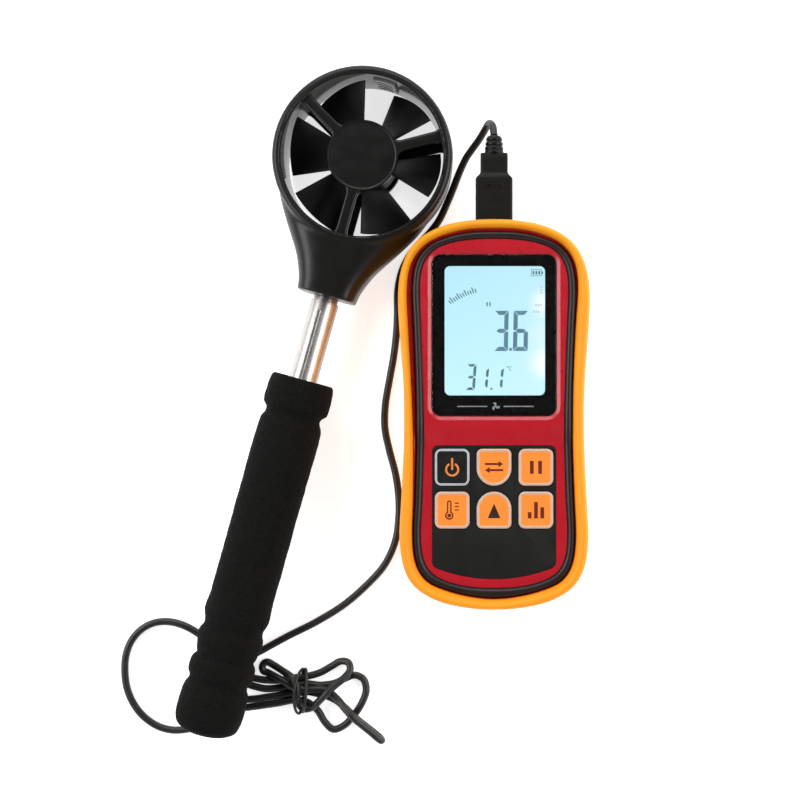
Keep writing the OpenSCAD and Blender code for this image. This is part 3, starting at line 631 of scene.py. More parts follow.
# ---------- the cord
# Points in mm from the plug to the handle; one without a height lies on the table. The lead and the loop
# repeat the CAD route up to the hank, whose turns exist only here.
LEAD = [
    (0, 118, 20.6), (-0.6, 122.4, 18.8), (-2.2, 124.4, 14.6), (-4, 122.4, 10.6), (-6.6, 118.6, 8.4),
    (-9.4, 115, 7), (-12.2, 111.2, 5.6), (-15, 105.6, 4.2), (-17.8, 98.8, 2.6), (-20.8, 91.8, 1.8),
    (-24, 85), (-28, 79.6), (-32.6, 74.8), (-37, 69.4), (-40.4, 62.6), (-42.2, 54), (-42.3, 44),
    (-42.8, 35), (-44, 25), (-45.8, 15), (-47.6, 4), (-47.8, -6), (-45.8, -16), (-43.2, -26),
    (-41.8, -36), (-41.8, -46), (-43.4, -56), (-48, -66), (-56, -75), (-66, -83.6), (-78, -91),
    (-90, -97), (-101, -103), (-107, -106.4), (-109.8, -110.4)]
HANK = [
    (-107.4, -114.6), (-103.6, -115.8), (-99, -116.4), (-94, -116.4), (-88, -115.4), (-82, -114.7),
    (-76, -113), (-71, -110.2), (-67, -108, 2.2), (-63.6, -108.5, 3.2), (-62.8, -111.6, 4.2),
    (-65.4, -114.8, 5.6), (-69, -117.6, 6.8), (-72.5, -120.8, 7.9), (-76.3, -124.8, 6.8),
    (-79.4, -127.6, 5.3), (-82.8, -128.2, 5.0), (-85.2, -125.6, 5.6), (-85.4, -121.6, 7.7),
    (-85.6, -117.6, 7.7), (-88, -114.2, 6.2), (-92, -112, 4.0), (-96, -110, 2.0), (-99.2, -108.45),
    (-100.8, -109.1), (-101.5, -110.75), (-100.8, -112.4), (-99, -113.05, 2.0), (-95.2, -114.5, 4.0),
    (-91, -116.4, 5.2), (-87, -118.8, 5.0), (-83, -119.8, 4.6), (-78.6, -119.8, 4.6),
    (-74.6, -119.9, 4.6), (-70.6, -122, 4.6), (-67.4, -124.9, 5.2), (-64.6, -127.9, 6.9),
    (-61.4, -131, 8.1), (-57.8, -134.4, 7.1), (-54, -137.9, 5.7), (-50.3, -141.25, 5.04),
    (-49.4, -142.05, 4.55), (-49.05, -142.35, 3.37), (-49.4, -142.05, 2.19), (-50.3, -141.25),
    (-54, -138, 2.4), (-57.8, -134.6, 3.8), (-61.4, -131.2, 4.9), (-65, -128, 3.6), (-69, -125.3, 1.8),
    (-73, -123.4), (-77.4, -122.2), (-82, -121.4), (-88, -121.9), (-94, -123), (-100, -123.9),
    (-105, -124.6), (-109.2, -124.6), (-112, -122.6), (-111.8, -119.4), (-109, -118), (-105.2, -119),
    (-100, -120.1), (-94, -119.7), (-88, -118.6), (-82, -118), (-76, -118.6), (-70, -117.8),
    (-65.6, -115.8), (-61, -114.2), (-57.2, -116), (-56, -120.8), (-58, -126.6), (-61.6, -132),
    (-66, -136.4), (-70.4, -137.9), (-74, -134.8), (-77.4, -129.4), (-82, -126), (-88, -125.2),
    (-94, -126.3), (-100, -127.2)]
LOOP = [
    (-105, -127.9), (-110, -128.2), (-114, -125.6), (-115.8, -120), (-116, -113.4), (-118, -107),
    (-122.6, -101), (-129.4, -96), (-136, -92.4), (-142.6, -90.8), (-149, -91.4), (-154.6, -94.4),
    (-158.6, -99), (-161, -105), (-161.6, -112.4), (-160.6, -120), (-157.6, -127), (-153, -132.6),
    (-147, -136.6), (-141, -138.2), (-135.4, -138), (-131, -136.6, 2.1), (-128.2, -133.4, 3.4),
    (-127, -129.6, 5.2)]
CORD_LIES = 1.7    # height of the cord's middle where it lies on the table
CORD_D = 3.2


def smooth_path(points, per=8):
    """Centripetal curve through the points."""
    p = [Vector(q) for q in points]
    p = [2 * p[0] - p[1]] + p + [2 * p[-1] - p[-2]]
    out = []
    for i in range(1, len(p) - 2):
        a, b, c, d = p[i - 1:i + 3]
        t1 = (b - a).length ** 0.5
        t2 = t1 + (c - b).length ** 0.5
        t3 = t2 + (d - c).length ** 0.5
        for k in range(per):
            t = t1 + (t2 - t1) * k / per
            a1 = a.lerp(b, t / t1)
            a2 = b.lerp(c, (t - t1) / (t2 - t1))
            a3 = c.lerp(d, (t - t2) / (t3 - t2))
            b1 = a1.lerp(a2, t / t2)
            b2 = a2.lerp(a3, (t - t1) / (t3 - t1))
            out.append(b1.lerp(b2, (t - t1) / (t2 - t1)))
    out.append(p[-2])
    return out


def tube_curve(name, path, d, resolution=6):
    cu = bpy.data.curves.new(name, "CURVE")
    cu.dimensions = "3D"
    sp = cu.splines.new("POLY")
    sp.points.add(len(path) - 1)
    for q, v in zip(sp.points, path):
        q.co = (*(v * MM), 1)
    sp.use_smooth = True
    cu.bevel_depth = d / 2 * MM
    cu.bevel_resolution = resolution
    cu.use_fill_caps = True
    return add_object(name, cu)


route = smooth_path([q if len(q) == 3 else (*q, CORD_LIES) for q in (LEAD + HANK + LOOP)[::-1]], 8)
cord_length = sum((b - a).length for a, b in zip(route, route[1:])) * MM
cord = tube_curve("cord", route, CORD_D)
dress(cord, "probe", "cord_black", nodes=["cable_lead", "cable_hank", "cable_loop"])


def wire_tie():
    """Plastic-coated wire wound twice round the hank, its two ends twisted together."""
    ring = []
    for k in range(95):
        a = 2 * pi * k / 48 - 1.9
        y, up = (9.5 + 0.3 * sin(k * 0.21)) * cos(a), sin(a)
        bulge = -2.4 if k < 48 else 1.5
        ring.append(Vector((-84.6 + bulge * max(0, up) + 0.026 * k + 0.1 * y, -120.3 + y, 5.4 + 4.5 * up)))
    last = ring[-1]
    tail = [last + Vector((1.2 + 0.7 * k, -0.5 - 0.5 * k + 0.45 * sin(k * 2.2),
        -0.1 * k + 0.45 * cos(k * 2.2))) for k in range(1, 6)]
    for q in ring + tail:
        q.z = max(q.z, 0.85)
    tie = tube_curve("wire_tie", smooth_path(ring + tail, 4), 1.25, 4)
    return dress(tie, "probe", "cord_black", "tie_wire")


tie = wire_tie()


def gland():
    """Rubber sleeve where the cord enters the handle, ribbed and tapered towards the cord."""
    tip = Vector(LOOP[-1])
    d = Vector((0.3, 0.85, 0.43)).normalized()
    place = Matrix.Scale(MM, 4) @ Matrix.Translation(tip) @ d.to_track_quat("Z", "Y").to_matrix().to_4x4()
    prof = [(1.62, 0), (1.95, 0.0), (2.12, 0.35), (2.12, 1.0), (1.95, 1.25), (1.98, 1.55), (2.32, 1.8),
        (2.34, 2.5), (2.15, 2.75), (2.2, 3.1), (2.55, 3.4), (2.6, 11), (1.62, 11)]
    ob = lathe("gland_sleeve", prof, place, 48, sharp=50)
    return dress(ob, "probe", "cord_black", "plug_rubber", ["cord_gland"])


gland()


# ---------- outlines of the display unit
BOOT_HALF = [(0, 81), (12, 80.3), (23, 77.6), (32.5, 71.8), (38, 62.5), (40, 50), (39.2, 32), (37.7, 12),
    (37.5, -10), (38.6, -35), (39.4, -51), (38, -62.5), (33.5, -71.2), (24, -77.3), (12, -80.2), (0, -81)]
TRIM_HALF = [(0, 75.6), (10.5, 75.2), (20, 73), (27.4, 69.3), (32.2, 62.5), (33.8, 52), (33.2, 36),
    (32.3, 12), (32.2, -8), (33, -35), (33.6, -50), (32.3, -61.5), (27.8, -68.7), (20, -72.4), (10, -75),
    (0, -76)]
FACE_HALF = [(0, 72.4), (9.5, 72), (18, 70.6), (24.8, 67.6), (29, 62), (30.6, 53), (30, 36), (29.2, 12),
    (28.9, -8), (29.6, -35), (30.3, -49), (29.2, -59.5), (25.3, -65.8), (18, -69.4), (9.2, -71.2),
    (0, -71.6)]


def outline(half, steps=3):
    p = [Vector(q) for q in half] + [Vector((-x, y)) for x, y in half[-2:0:-1]]
    n = len(p)
    out = []
    for i in range(n):
        a, b, c, d = (p[(i + k - 1) % n] for k in range(4))
        for k in range(steps):
            t = k / steps
            bend, twist = 2 * a - 5 * b + 4 * c - d, 3 * b - a - 3 * c + d
            out.append(0.5 * (2 * b + (c - a) * t + bend * t * t + twist * t ** 3))
    return out


boot_line, trim_line = outline(BOOT_HALF), outline(TRIM_HALF)


def top_of(node):
    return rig.box(node)[1][2] / MM


boot_top, FACE_Z, KEYPAD_Z = top_of("boot"), top_of("front_shell"), top_of("keypad_panel")


def ease(v, a, b):
    t = min(1, max(0, (v - a) / (b - a)))
    return t * t * (3 - 2 * t)


def lip_gap(p):
    """How far the boot's lip stands back from the trim ring, as a share: most at the upper left."""
    if p.x < 0:
        w = ease(p.y, -50, 22) * (1 - 0.45 * ease(p.y, 58, 77))
    else:
        w = 0.55 * ease(p.y, 28, 72)
    return 0.06 + 0.31 * w


def build_boot():
    profile = [
        (0.22, 0), (0.06, 0.7), (0, 2.6), (0, 10), (0, 18), (0, 26), (0, 31), (0.05, 35), (0.16, 37.5),
        (0.34, boot_top + 0.12), (0.56, boot_top + 0.02), (0.80, boot_top - 0.9), (0.97, 36.4), (1, 35.2),
        (1, 33.2), (0.98, 33), (0.62, 33), (0.6, 32.8), (0.6, 20), (0.6, 2.8), (0.64, 2.6), (1.9, 2.6),
        (1.95, 2.4), (1.95, 0.5), (1.87, 0), (1.2, 0)]
    rings = []
    for b, t in zip(boot_line, trim_line):
        squeeze = (0.6 - lip_gap(b)) / 0.6
        ring = []
        for k, (s, z) in enumerate(profile):
            if 9 <= k <= 15:
                s = 0.4 + (s - 0.4) * squeeze if s > 0.4 else s
                if z < 34:
                    s = max(0.615, s)
            ring.append((*(b + s * (t - b)), z))
        rings.append(ring)
    ob = closed_loft("boot_shape", rings)
    modifier(ob, "SUBSURF", levels=2, render_levels=2)
    applied(ob)
    opening = prism("tool", rounded(16.6, 8.8, 1.0), 60, 100,
        moved(0, 0, PLUG_Z) @ Matrix.Rotation(-pi / 2, 4, "X"))
    cut(ob, opening, sharp=40)
    return dress(ob, "meter", "boot_rubber", nodes=["boot"])


def build_case_rim():
    """Edge of the red case that shows between the boot's lip and the trim ring."""
    rings = []
    for b, t in zip(boot_line, trim_line):
        a = 0.985 - max(0.045, lip_gap(b) - 0.02)
        w = 0.985 - a
        ring = [(a, 32.95), (a, 34.4), (a + 0.08 * w, 34.75), (a + 0.5 * w, 34.95), (a + 0.85 * w, 34.7),
            (0.985, 34.1), (0.985, 32.95)]
        rings.append([(*(b + s * (t - b)), z) for s, z in ring])
    ob = closed_loft("case_rim", rings, sharp=50)
    return dress(ob, "meter", "red_plastic", nodes=["front_shell"])


def face_level(y):
    """Height of the face: the keypad's below, the display's above, with a sloping band between."""
    t = min(1, max(0, (y + 12) / 6.5))
    t = t * t * (3 - 2 * t) * 0.4 + t * 0.6
    return KEYPAD_Z + (FACE_Z - KEYPAD_Z) * t


def build_trim():
    profile = [(0.0, -1.3), (0.05, 0.0), (0.14, 0.62), (0.28, 0.98), (0.5, 1.16), (0.72, 0.9), (0.86, 0.5),
        (0.96, -0.1), (0.99, -0.8)]
    rings = []
    for t, f in zip(outline(TRIM_HALF, 6), outline(FACE_HALF, 6)):
        z = face_level(t.y)
        ring = [(*(t + s * (f - t)), z + h) for s, h in profile]
        rings.append(ring + [(*(t + 0.99 * (f - t)), 33.0), (*t, 33.0)])
    ob = closed_loft("trim_shape", rings)
    modifier(ob, "SUBSURF", levels=1, render_levels=1)
    applied(ob, 60)
    return dress(ob, "meter", "gloss_black", nodes=["trim_ring"])


def build_lens_border():
    """Black print under the lens's margin, and its blackened edge."""
    low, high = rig.box("display_lens")
    w, l = (high[0] - low[0]) / MM, (high[1] - low[1]) / MM
    cx, cy = (high[0] + low[0]) / 2 / MM, (high[1] + low[1]) / 2 / MM
    z0, z1 = low[2] / MM, high[2] / MM
    section = [(0.1, z0 - 0.03), (0.1, z1 - 0.2), (0.02, z1 - 0.2), (0.02, z0 + 0.06), (-1.5, z0 + 0.06),
               (-1.5, z0 - 0.03)]
    loops = [rounded(w + 2 * s, l + 2 * s, 3.9 + s, cx, cy, 12) for s, _ in section]
    rings = [[(*loop[k], z) for loop, (_, z) in zip(loops, section)] for k in range(len(loops[0]))]
    ob = closed_loft("lens_border", rings, sharp=40)
    return dress(ob, "meter", SLOT["display_mask"], "black_ink")


build_boot()
build_case_rim()
build_lens_border()
build_trim()
refine("front_shell", 0.28, 3, 28)
refine("rear_shell", 0.25, 2)
refine("battery_door", 0.2, 2)
refine("display_lens", 0.3, 3)
refine("display_mask", 0.0, lift=-MASK_SINK)
refine("keypad_panel", 0.14, 2)


# ---------- keys
KEY_W, KEY_L = 14.3, 15.2


def key_outline(kind, inset):
    n = 10    # points to a quarter turn
    w, l = KEY_W - 2 * inset, KEY_L - 2 * inset
    if kind == "square":
        return rounded(w, l, max(0.4, 2.6 - inset), n=n)
    r = w / 2
    c = 2.2 - inset if inset < 1.8 else 0.4
    y = (KEY_L - KEY_W) / 2      # centre of the half circle lies this far from the middle
    pts = (arc(w / 2 - c, l / 2 - c, c, 0, 90, n) + arc(-w / 2 + c, l / 2 - c, c, 90, 180, n)
           + arc(0, -y, r, 180, 360, 3 * n))
    return pts if kind == "bowl" else [(-a, -b) for a, b in pts]


def ring_prism(name, outer, inner, z0, z1, place=METER):
    rings = [[(*o, z0), (*o, z1), (*i, z1), (*i, z0)] for o, i in zip(outer, inner)]
    return closed_loft(name, rings, place, 35)


def build_key(node, kind, cap, rim):
    low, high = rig.box(node)
    cx, cy = (low[0] + high[0]) / 2 / MM, (low[1] + high[1]) / 2 / MM
    bottom, top = low[2] / MM, high[2] / MM
    place = moved(cx, cy)
    # body: flange, wall, rounded shoulder, slightly hollowed top
    layers = [(-0.8, 29.9, True), (-0.8, 30.7, True), (0.0, 30.75, False), (0.0, top - 1.2, False),
        (0.15, top - 0.3, False), (0.5, top - 0.14, False), (1.3, top - 0.12, False),
        (2.2, top - 0.16, False), (3.4, top - 0.17, False)]
    rings = []
    for inset, z, flange in layers:
        pts = key_outline("square" if flange else kind, inset)
        if flange and kind != "square":
            pts = rounded(KEY_W + 1.6, KEY_L + 1.6, 3.4)
        rings.append([(x, y, z) for x, y in resample(pts, 96)])
    body = open_loft(node + "_cap", rings, place, 50)
    stem = lathe(node + "_stem", [(0, bottom), (2.2, bottom), (2.5, bottom + 0.3), (2.5, 30.2), (0, 30.2)],
        place, 40)
    body = join(node + "_cap", [body, stem])
    finish_mesh(body.data, 50)
    dress(body, BODY[node], SLOT[node], cap, [node])
    width = 1.12 if rim == "key_rim" else 0.95
    outer, shoulder, lip, inner = (resample(key_outline(kind, s), 160)
        for s in (-0.03, 0.2, width - 0.2, width))
    rings = [[(*a, top - 1.3), (*a, top - 0.24), (*b, top + 0.02), (*c, top + 0.02), (*d, top - 0.1),
        (*d, top - 0.3)] for a, b, c, d in zip(outer, shoulder, lip, inner)]
    edge = closed_loft(node + "_edge", rings, place, 50)
    dress(edge, BODY[node], SLOT[node], rim)
    return cx, cy, top - 0.17


def resample(points, n):
    """n points at even distances round a closed outline, from its start."""
    p = [Vector(q) for q in points]
    d = [0.0]
    for a, b in zip(p, p[1:] + p[:1]):
        d.append(d[-1] + (b - a).length)
    out, j = [], 0
    for k in range(n):
        s = d[-1] * k / n
        while d[j + 1] < s:
            j += 1
        a, b = p[j], p[(j + 1) % len(p)]
        f = (s - d[j]) / max(1e-9, d[j + 1] - d[j])
        out.append(tuple(a.lerp(b, f)))
    return out


def strip(points, width):
    """Outline of a line of even width through the points, with square ends."""
    p = [Vector(q) for q in points]
    left, right = [], []
    for i, q in enumerate(p):
        t = (p[min(i + 1, len(p) - 1)] - p[max(i - 1, 0)]).normalized()
        s = Vector((-t.y, t.x)) * width / 2
        left.append(tuple(q + s))
        right.append(tuple(q - s))
    return left + right[::-1]


INK_THICK = 0.035


def print_on(name, shapes, body, slot, material, at, thick=INK_THICK):
    """Flat printed marks: closed outlines, each a thin solid, as one piece."""
    cx, cy, z = at
    parts = [prism(f"{name}_{k}", s, z, z + thick, moved(cx, cy)) for k, s in enumerate(shapes)]
    ob = join(name, parts)
    finish_mesh(ob.data, 30)
    return dress(ob, body, slot, material)


def arrow(x0, x1, y):
    w, head = 0.85, 1.25    # width of the shaft, half width of the head
    s = 1 if x1 > x0 else -1
    return [(x0, y - w / 2), (x1 - s * 2.0, y - w / 2), (x1 - s * 2.0, y - head), (x1, y),
        (x1 - s * 2.0, y + head), (x1 - s * 2.0, y + w / 2), (x0, y + w / 2)]


def build_keys():
    at = {}
    for node, kind in (("power_key", "square"), ("unit_key", "bowl"), ("hold_key", "square"),
            ("temp_key", "square"), ("up_key", "dome"), ("max_key", "square")):
        dark = node == "power_key"
        at[node] = build_key(node, kind, "key_black" if dark else "key_orange",
            "key_rim_grey" if dark else "key_rim")

    def mark(node, shapes, ink):
        print_on(node + "_mark", shapes, BODY[node], SLOT[node], ink, at[node])

    r = 2.5
    mark("power_key", [strip(arc(0, -0.9, r, 118, 422, 40), 0.8), strip([(0, -1.1), (0, 3.8)], 0.8)],
         "ink_orange")
    mark("unit_key", [arrow(-3.8, 3.8, 1.35), arrow(3.8, -3.8, -1.15)], "ink_brown")
    mark("hold_key", [rounded(1.5, 5.4, 0.3, -1.7, 0.0, 3), rounded(1.5, 5.4, 0.3, 1.7, 0.0, 3)],
         "ink_brown")
    tube = arc(0, 3.1, 0.95, 0, 180, 10) + arc(0, -2.2, 1.75, 180 - 57, 360 + 57, 24)
    inner = arc(0, 3.1, 0.4, 0, 180, 10) + arc(0, -2.2, 1.15, 180 - 70, 360 + 70, 24)
    x, y, z = at["temp_key"]
    bulb = moved(x - 1.2, y)
    parts = [ring_prism("t", resample(tube, 80), resample(inner, 80), z, z + INK_THICK, bulb),
             prism("b", arc(0, -2.2, 0.8, 0, 345, 22), z, z + INK_THICK, bulb)]
    parts += [prism("l", rounded(1.7, 0.5, 0.1, 1.9, line, n=2), z, z + INK_THICK, moved(x, y))
              for line in (2.9, 1.5, 0.1)]
    ob = join("temp_key_mark", parts)
    finish_mesh(ob.data, 30)
    dress(ob, BODY["temp_key"], SLOT["temp_key"], "ink_brown")
    mark("up_key", [[(-2.6, -3.3), (2.6, -3.3), (0.1, 2.5), (-0.1, 2.5)]], "ink_dark")
    mark("max_key", [rounded(1.5, 2.6, 0.15, -2.6, -2.1, 2), rounded(1.5, 6.8, 0.15, 0.0, 0.0, 2),
        rounded(1.5, 4.6, 0.15, 2.6, -1.1, 2)], "ink_brown")


build_keys()


# ---------- display
def digit(number, x, y, w, h, t, slant, gap=0.14):
    """Bars of a digit in the usual seven places; its bottom left corner is at x, y."""
    g, m = gap, h / 2
    top = [(g * 1.4, h), (w - g * 1.4, h), (w - t - g, h - t), (t + g, h - t)]
    right = [(w, h - g * 1.4), (w, m + g + t * 0.22), (w - t * 0.45, m + g), (w - t, m + t / 2 + g),
             (w - t, h - t - g)]
    middle = [(t * 0.45 + g, m), (t + g, m + t / 2), (w - t - g, m + t / 2), (w - t * 0.45 - g, m),
        (w - t - g, m - t / 2), (t + g, m - t / 2)]

    def turned(bar, flip_x=False, flip_y=False):
        return [(w - u if flip_x else u, h - v if flip_y else v) for u, v in bar]

    places = {"a": top, "b": right, "c": turned(right, flip_y=True), "d": turned(top, flip_y=True),
              "e": turned(right, True, True), "f": turned(right, True), "g": middle}
    bars = {"3": "abgcd", "6": "afgecd", "1": "bc"}[number]
    return [[(x + u + slant * v, y + v) for u, v in places[b]] for b in bars]


def build_display():
    at = (0, 0, top_of("lcd_glass") + 0.01)
    slot = SLOT["lcd_glass"]
    paint(frame["nodes"]["lcd_glass"], "display_blue")
    # wind speed
    shapes = digit("3", -0.15, 26.3, 5.8, 16.6, 1.75, 0.022)
    shapes += digit("6", 7.7, 26.3, 6.1, 16.6, 1.75, 0.022)
    shapes.append(rounded(1.15, 1.15, 0.25, 6.75, 26.95, n=3))
    print_on("speed_reading", shapes, "meter", slot, "segment", at, 0.03)
    # temperature, and its degree sign
    small = digit("3", -11.9, 10.2, 3.9, 10.7, 1.1, 0.07, 0.22)
    small += digit("1", -6.75, 10.4, 3.9, 9.4, 1.1, 0.09, 0.45)
    small += digit("1", -0.65, 10.4, 3.9, 9.4, 1.1, 0.09, 0.45)
    small.append(rounded(0.8, 0.8, 0.2, -1.15, 10.7, n=3))
    print_on("temperature_reading", small, "meter", slot, "segment_small", at, 0.03)
    thin = [strip(arc(5.6, 19.8, 0.3, 0, 330, 12), 0.16)]
    thin.append(strip(arc(6.9, 19.1, 0.75, 50, 310, 14), 0.2))
    # curved scale of the wind speed
    for k in range(12):
        a = radians(125.3 - k * 2.0)
        tall = 2.6 if k % 3 == 1 else 1.7
        base = Vector((-0.6, 21.7)) + Vector((cos(a), sin(a))) * 29.4
        lean = Vector((cos(a + 0.1), sin(a + 0.1)))
        thin.append(strip([tuple(base), tuple(base + lean * tall)], 0.42))
    # battery sign, flags, pause sign and unit marks
    bx, by = 17.4, 58.6
    thin += [strip([(bx - 2.1, by + s * 1.3), (bx + 2.1, by + s * 1.3)], 0.2) for s in (-1, 1)]
    thin += [strip([(bx + s * 2.1, by - 1.4), (bx + s * 2.1, by + 1.4)], 0.2) for s in (-1, 1)]
    thin.append(strip([(bx + 2.5, by - 0.5), (bx + 2.5, by + 0.5)], 0.45))
    thin += [rounded(0.7, 1.5, 0.1, bx + d, by, n=2) for d in (-1.2, 0.0, 1.2)]
    thin += [strip([(19.0, y), (19.9, y)], 0.22) for y in (52.7, 51.5, 50.3)]
    thin += [rounded(0.5, 1.7, 0.1, x, 45.6, n=2) for x in (-2.9, -1.7)]
    thin += [strip(arc(x, y, 0.34, 0, 330, 10), 0.14)
        for x, y in ((17.4, 45.2), (19.2, 45.2), (16.4, 42.5), (18.2, 42.5))]
    thin += [strip([(x, y - 0.6), (x, y + 0.6)], 0.14) for x, y in ((18.3, 45.2), (17.3, 42.5))]
    print_on("display_signs", thin, "meter", slot, "segment_thin", at, 0.02)
    # generic fan sign and rule on the border under the display
    z = top_of("display_mask") - MASK_SINK
    cx, cy = 0.6, 3.4
    sign = [rounded(12.5, 0.42, 0.2, cx + s * 9.6, cy, n=3) for s in (-1, 1)]
    for k in range(3):
        a = 90 + 120 * k
        lean = radians(a + 22)
        sign.append(arc(cx + 0.95 * cos(lean), cy + 0.95 * sin(lean), 0.78, a - 150, a + 60, 14))
    sign.append(arc(cx, cy, 0.38, 0, 345, 16))
    print_on("border_sign", sign, "meter", SLOT["display_mask"], "ink_pale", (0, 0, z), 0.02)


build_display()


# ---------- plug
def build_plug():
    """Moulded plug: a flat body that narrows towards the cord, and a ribbed relief."""
    at = moved(0, 78.6, PLUG_Z)
    rings = []
    for y, w, d in ((0.0, 7.85, 4.0), (0.25, 7.85, 4.0), (10, 7.85, 4.0), (20.3, 7.85, 4.0),
            (20.9, 7.75, 3.98), (21.5, 7.35, 3.9), (22.7, 6.2, 3.5), (23.2, 5.88, 3.35), (23.9, 5.8, 3.3),
            (28, 5.8, 3.3), (31.2, 5.8, 3.3), (31.55, 5.65, 3.15), (31.7, 5.3, 2.8)):
        rings.append([(x, y, z) for x, z in resample(rounded(2 * w, 2 * d, 0.9), 72)])
    body = open_loft("plug_body_shape", rings, at, 30)
    dress(body, "probe", "cord_black", "plug_rubber", ["plug_body"])
    marks = [prism("m", arc(x, 17.7, 0.55, 0, 330, 12), 3.94, 4.03, at) for x in (-2.2, 2.2)]
    # painted shade: this dark line stands for the shade in the plug's groove, drawn on top in the black ink finish
    marks.append(prism("m", rounded(10.5, 0.22, 0.08, 0, 16.6, 2), 3.94, 4.015, at))
    marks = join("plug_marks", marks)
    dress(marks, "probe", "cord_black", "black_ink")
    profile = [
        (0, 0), (3.95, 0), (3.98, 0.3), (3.98, 1.1), (3.9, 1.25), (3.55, 1.35), (3.55, 1.6), (3.9, 1.7),
        (3.95, 1.9), (3.95, 2.7), (3.8, 2.9), (3.3, 3.0), (3.2, 3.2), (3.25, 3.4), (3.65, 3.55),
        (3.72, 3.8), (3.72, 4.6), (3.6, 4.85), (3.05, 5.0), (2.95, 5.2), (3.0, 5.4), (3.4, 5.6),
        (3.45, 5.9), (3.3, 6.7), (2.9, 7.3), (2.3, 7.65), (1.65, 7.75), (0, 7.75)]
    relief = lathe("plug_relief_shape", profile, moved(0, 110.2, PLUG_Z) @ Matrix.Rotation(-pi / 2, 4, "X"),
        72, sharp=40)
    dress(relief, "probe", "cord_black", "plug_rubber", ["plug_relief"])
    return [body, marks, relief, refine("plug_shell", 0.12, 2)]


plug_parts = build_plug()
refine("probe_socket", 0.1, 2)


# ---------- foam grip
def build_grip():
    start, length, radius = 97.2, 155.6, 13.9
    knots = [
        (0, 0.9), (0.8, 0.96), (2.2, 0.99), (12.6, 1), (13.7, 0.94), (14.9, 0.875), (16.8, 0.865),
        (18.6, 0.93), (20.4, 0.965), (60, 0.975), (98, 0.985), (103.4, 1.01), (106, 0.975), (108.4, 0.925),
        (110.8, 0.925), (112.5, 0.985), (115, 1.01), (117.8, 0.975), (120.6, 0.935), (122.9, 0.905),
        (124.6, 0.97), (127.2, 1.005), (130.4, 0.985), (132.5, 0.92), (134.8, 0.925), (136.5, 0.985),
        (140, 1.02), (147, 1.03), (150.4, 1.0), (152.8, 0.93), (154.1, 0.82), (155.1, 0.66), (155.5, 0.45),
        (155.6, 0.25), (155.6, 0.0)]
    curve = smooth_path([(r * radius, t, 0) for t, r in knots], 14)
    outer = [(max(0.0, p.x), min(length, max(0, p.y))) for p in curve]
    # even steps along the outside
    steps = [outer[0]]
    for a, b in zip(outer, outer[1:]):
        n = max(1, round(dist(a, b) / 0.55))
        steps += [(a[0] + (b[0] - a[0]) * k / n, a[1] + (b[1] - a[1]) * k / n) for k in range(1, n + 1)]
    thin = [steps[0]]
    for s in steps[1:]:
        if dist(s, thin[-1]) > 0.42 or s is steps[-1]:
            thin.append(s)
    profile = [(r, start + t) for r, t in thin]
    core = 10.0
    profile += [(0.0, start + 151.5), (core, start + 151.5), (core, start + 3), (core, start + 1.4),
        (core, start + 0.3), (10.3, start + 0.02)]

    def wobble(a, h, r):
        if r < 10.6:
            return 0.0
        p = Vector((r * cos(a), r * sin(a), h))
        w = 0.16 * noise.noise(p * 0.11 + Vector((3.1, 0, 7))) + 0.13 * noise.noise(p * 0.35)
        w += 0.085 * noise.noise(p * 1.15 + Vector((0, 9, 0))) + 0.05 * noise.noise(p * 2.6)
        t = h - start
        for c, s, depth in ((109.4, 1.3, 0.15), (122.6, 1.2, 0.2), (133.4, 1.2, 0.15), (15.6, 1.3, 0.15)):
            # creases in the foam wander round the handle
            q = t - c - 1.1 * noise.noise(Vector((2.2 * cos(a), 2.2 * sin(a), c)))
            w -= depth * exp(-(q / s) ** 2)
        return w - 0.1

    ob = lathe("foam_sleeve", profile, PROBE, 168, axis="y", sharp=None, wobble=wobble)
    dress(ob, "probe", "foam_black", nodes=["foam_grip"])
    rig.padded(ob, fill=0.95)
    return ob


build_grip()
for name in ("base_tube", "mid_tube", "inner_tube"):
    refine(name, 0.12, 2, angle=40)
for name in ("mid_bush", "inner_bush", "handle_core"):
    refine(name, 0.15, 2, angle=40)


# ---------- vane head
RING = [(-2.2, -14), (-1.5, -11.5), (-0.4, -6), (0, 2), (0.35, 9), (0.3, 12.2), (-0.3, 13.6), (-1.3, 14.2),
        (-2.6, 14.3)]
HEAD_R, SPOKE_END, HUB_R, BLADE_ROOT, BLADE_TIP = 37.6, 34.9, 12.4, 12.1, 32.4
NECK = [(14, 33.6, 13.9), (17, 33.2, 13.95), (24, 30.6, 13.9), (30, 27.3, 13.85), (36, 23.6, 13.6),
    (41, 20.3, 13.3), (46, 17.2, 12.8), (51, 14.9, 12.3), (56, 13.2, 11.9), (60.6, 12.5, 11.6)]


def superellipse(w, d, y):
    """Rounded oblong of half width w and half depth d, across the handle."""
    n, e = 72, 0.62
    out = []
    for k in range(n):
        a = 2 * pi * k / n
        c, s = cos(a), sin(a)
        out.append((w * copysign(abs(c) ** e, c), y, d * copysign(abs(s) ** e, s)))
    return out


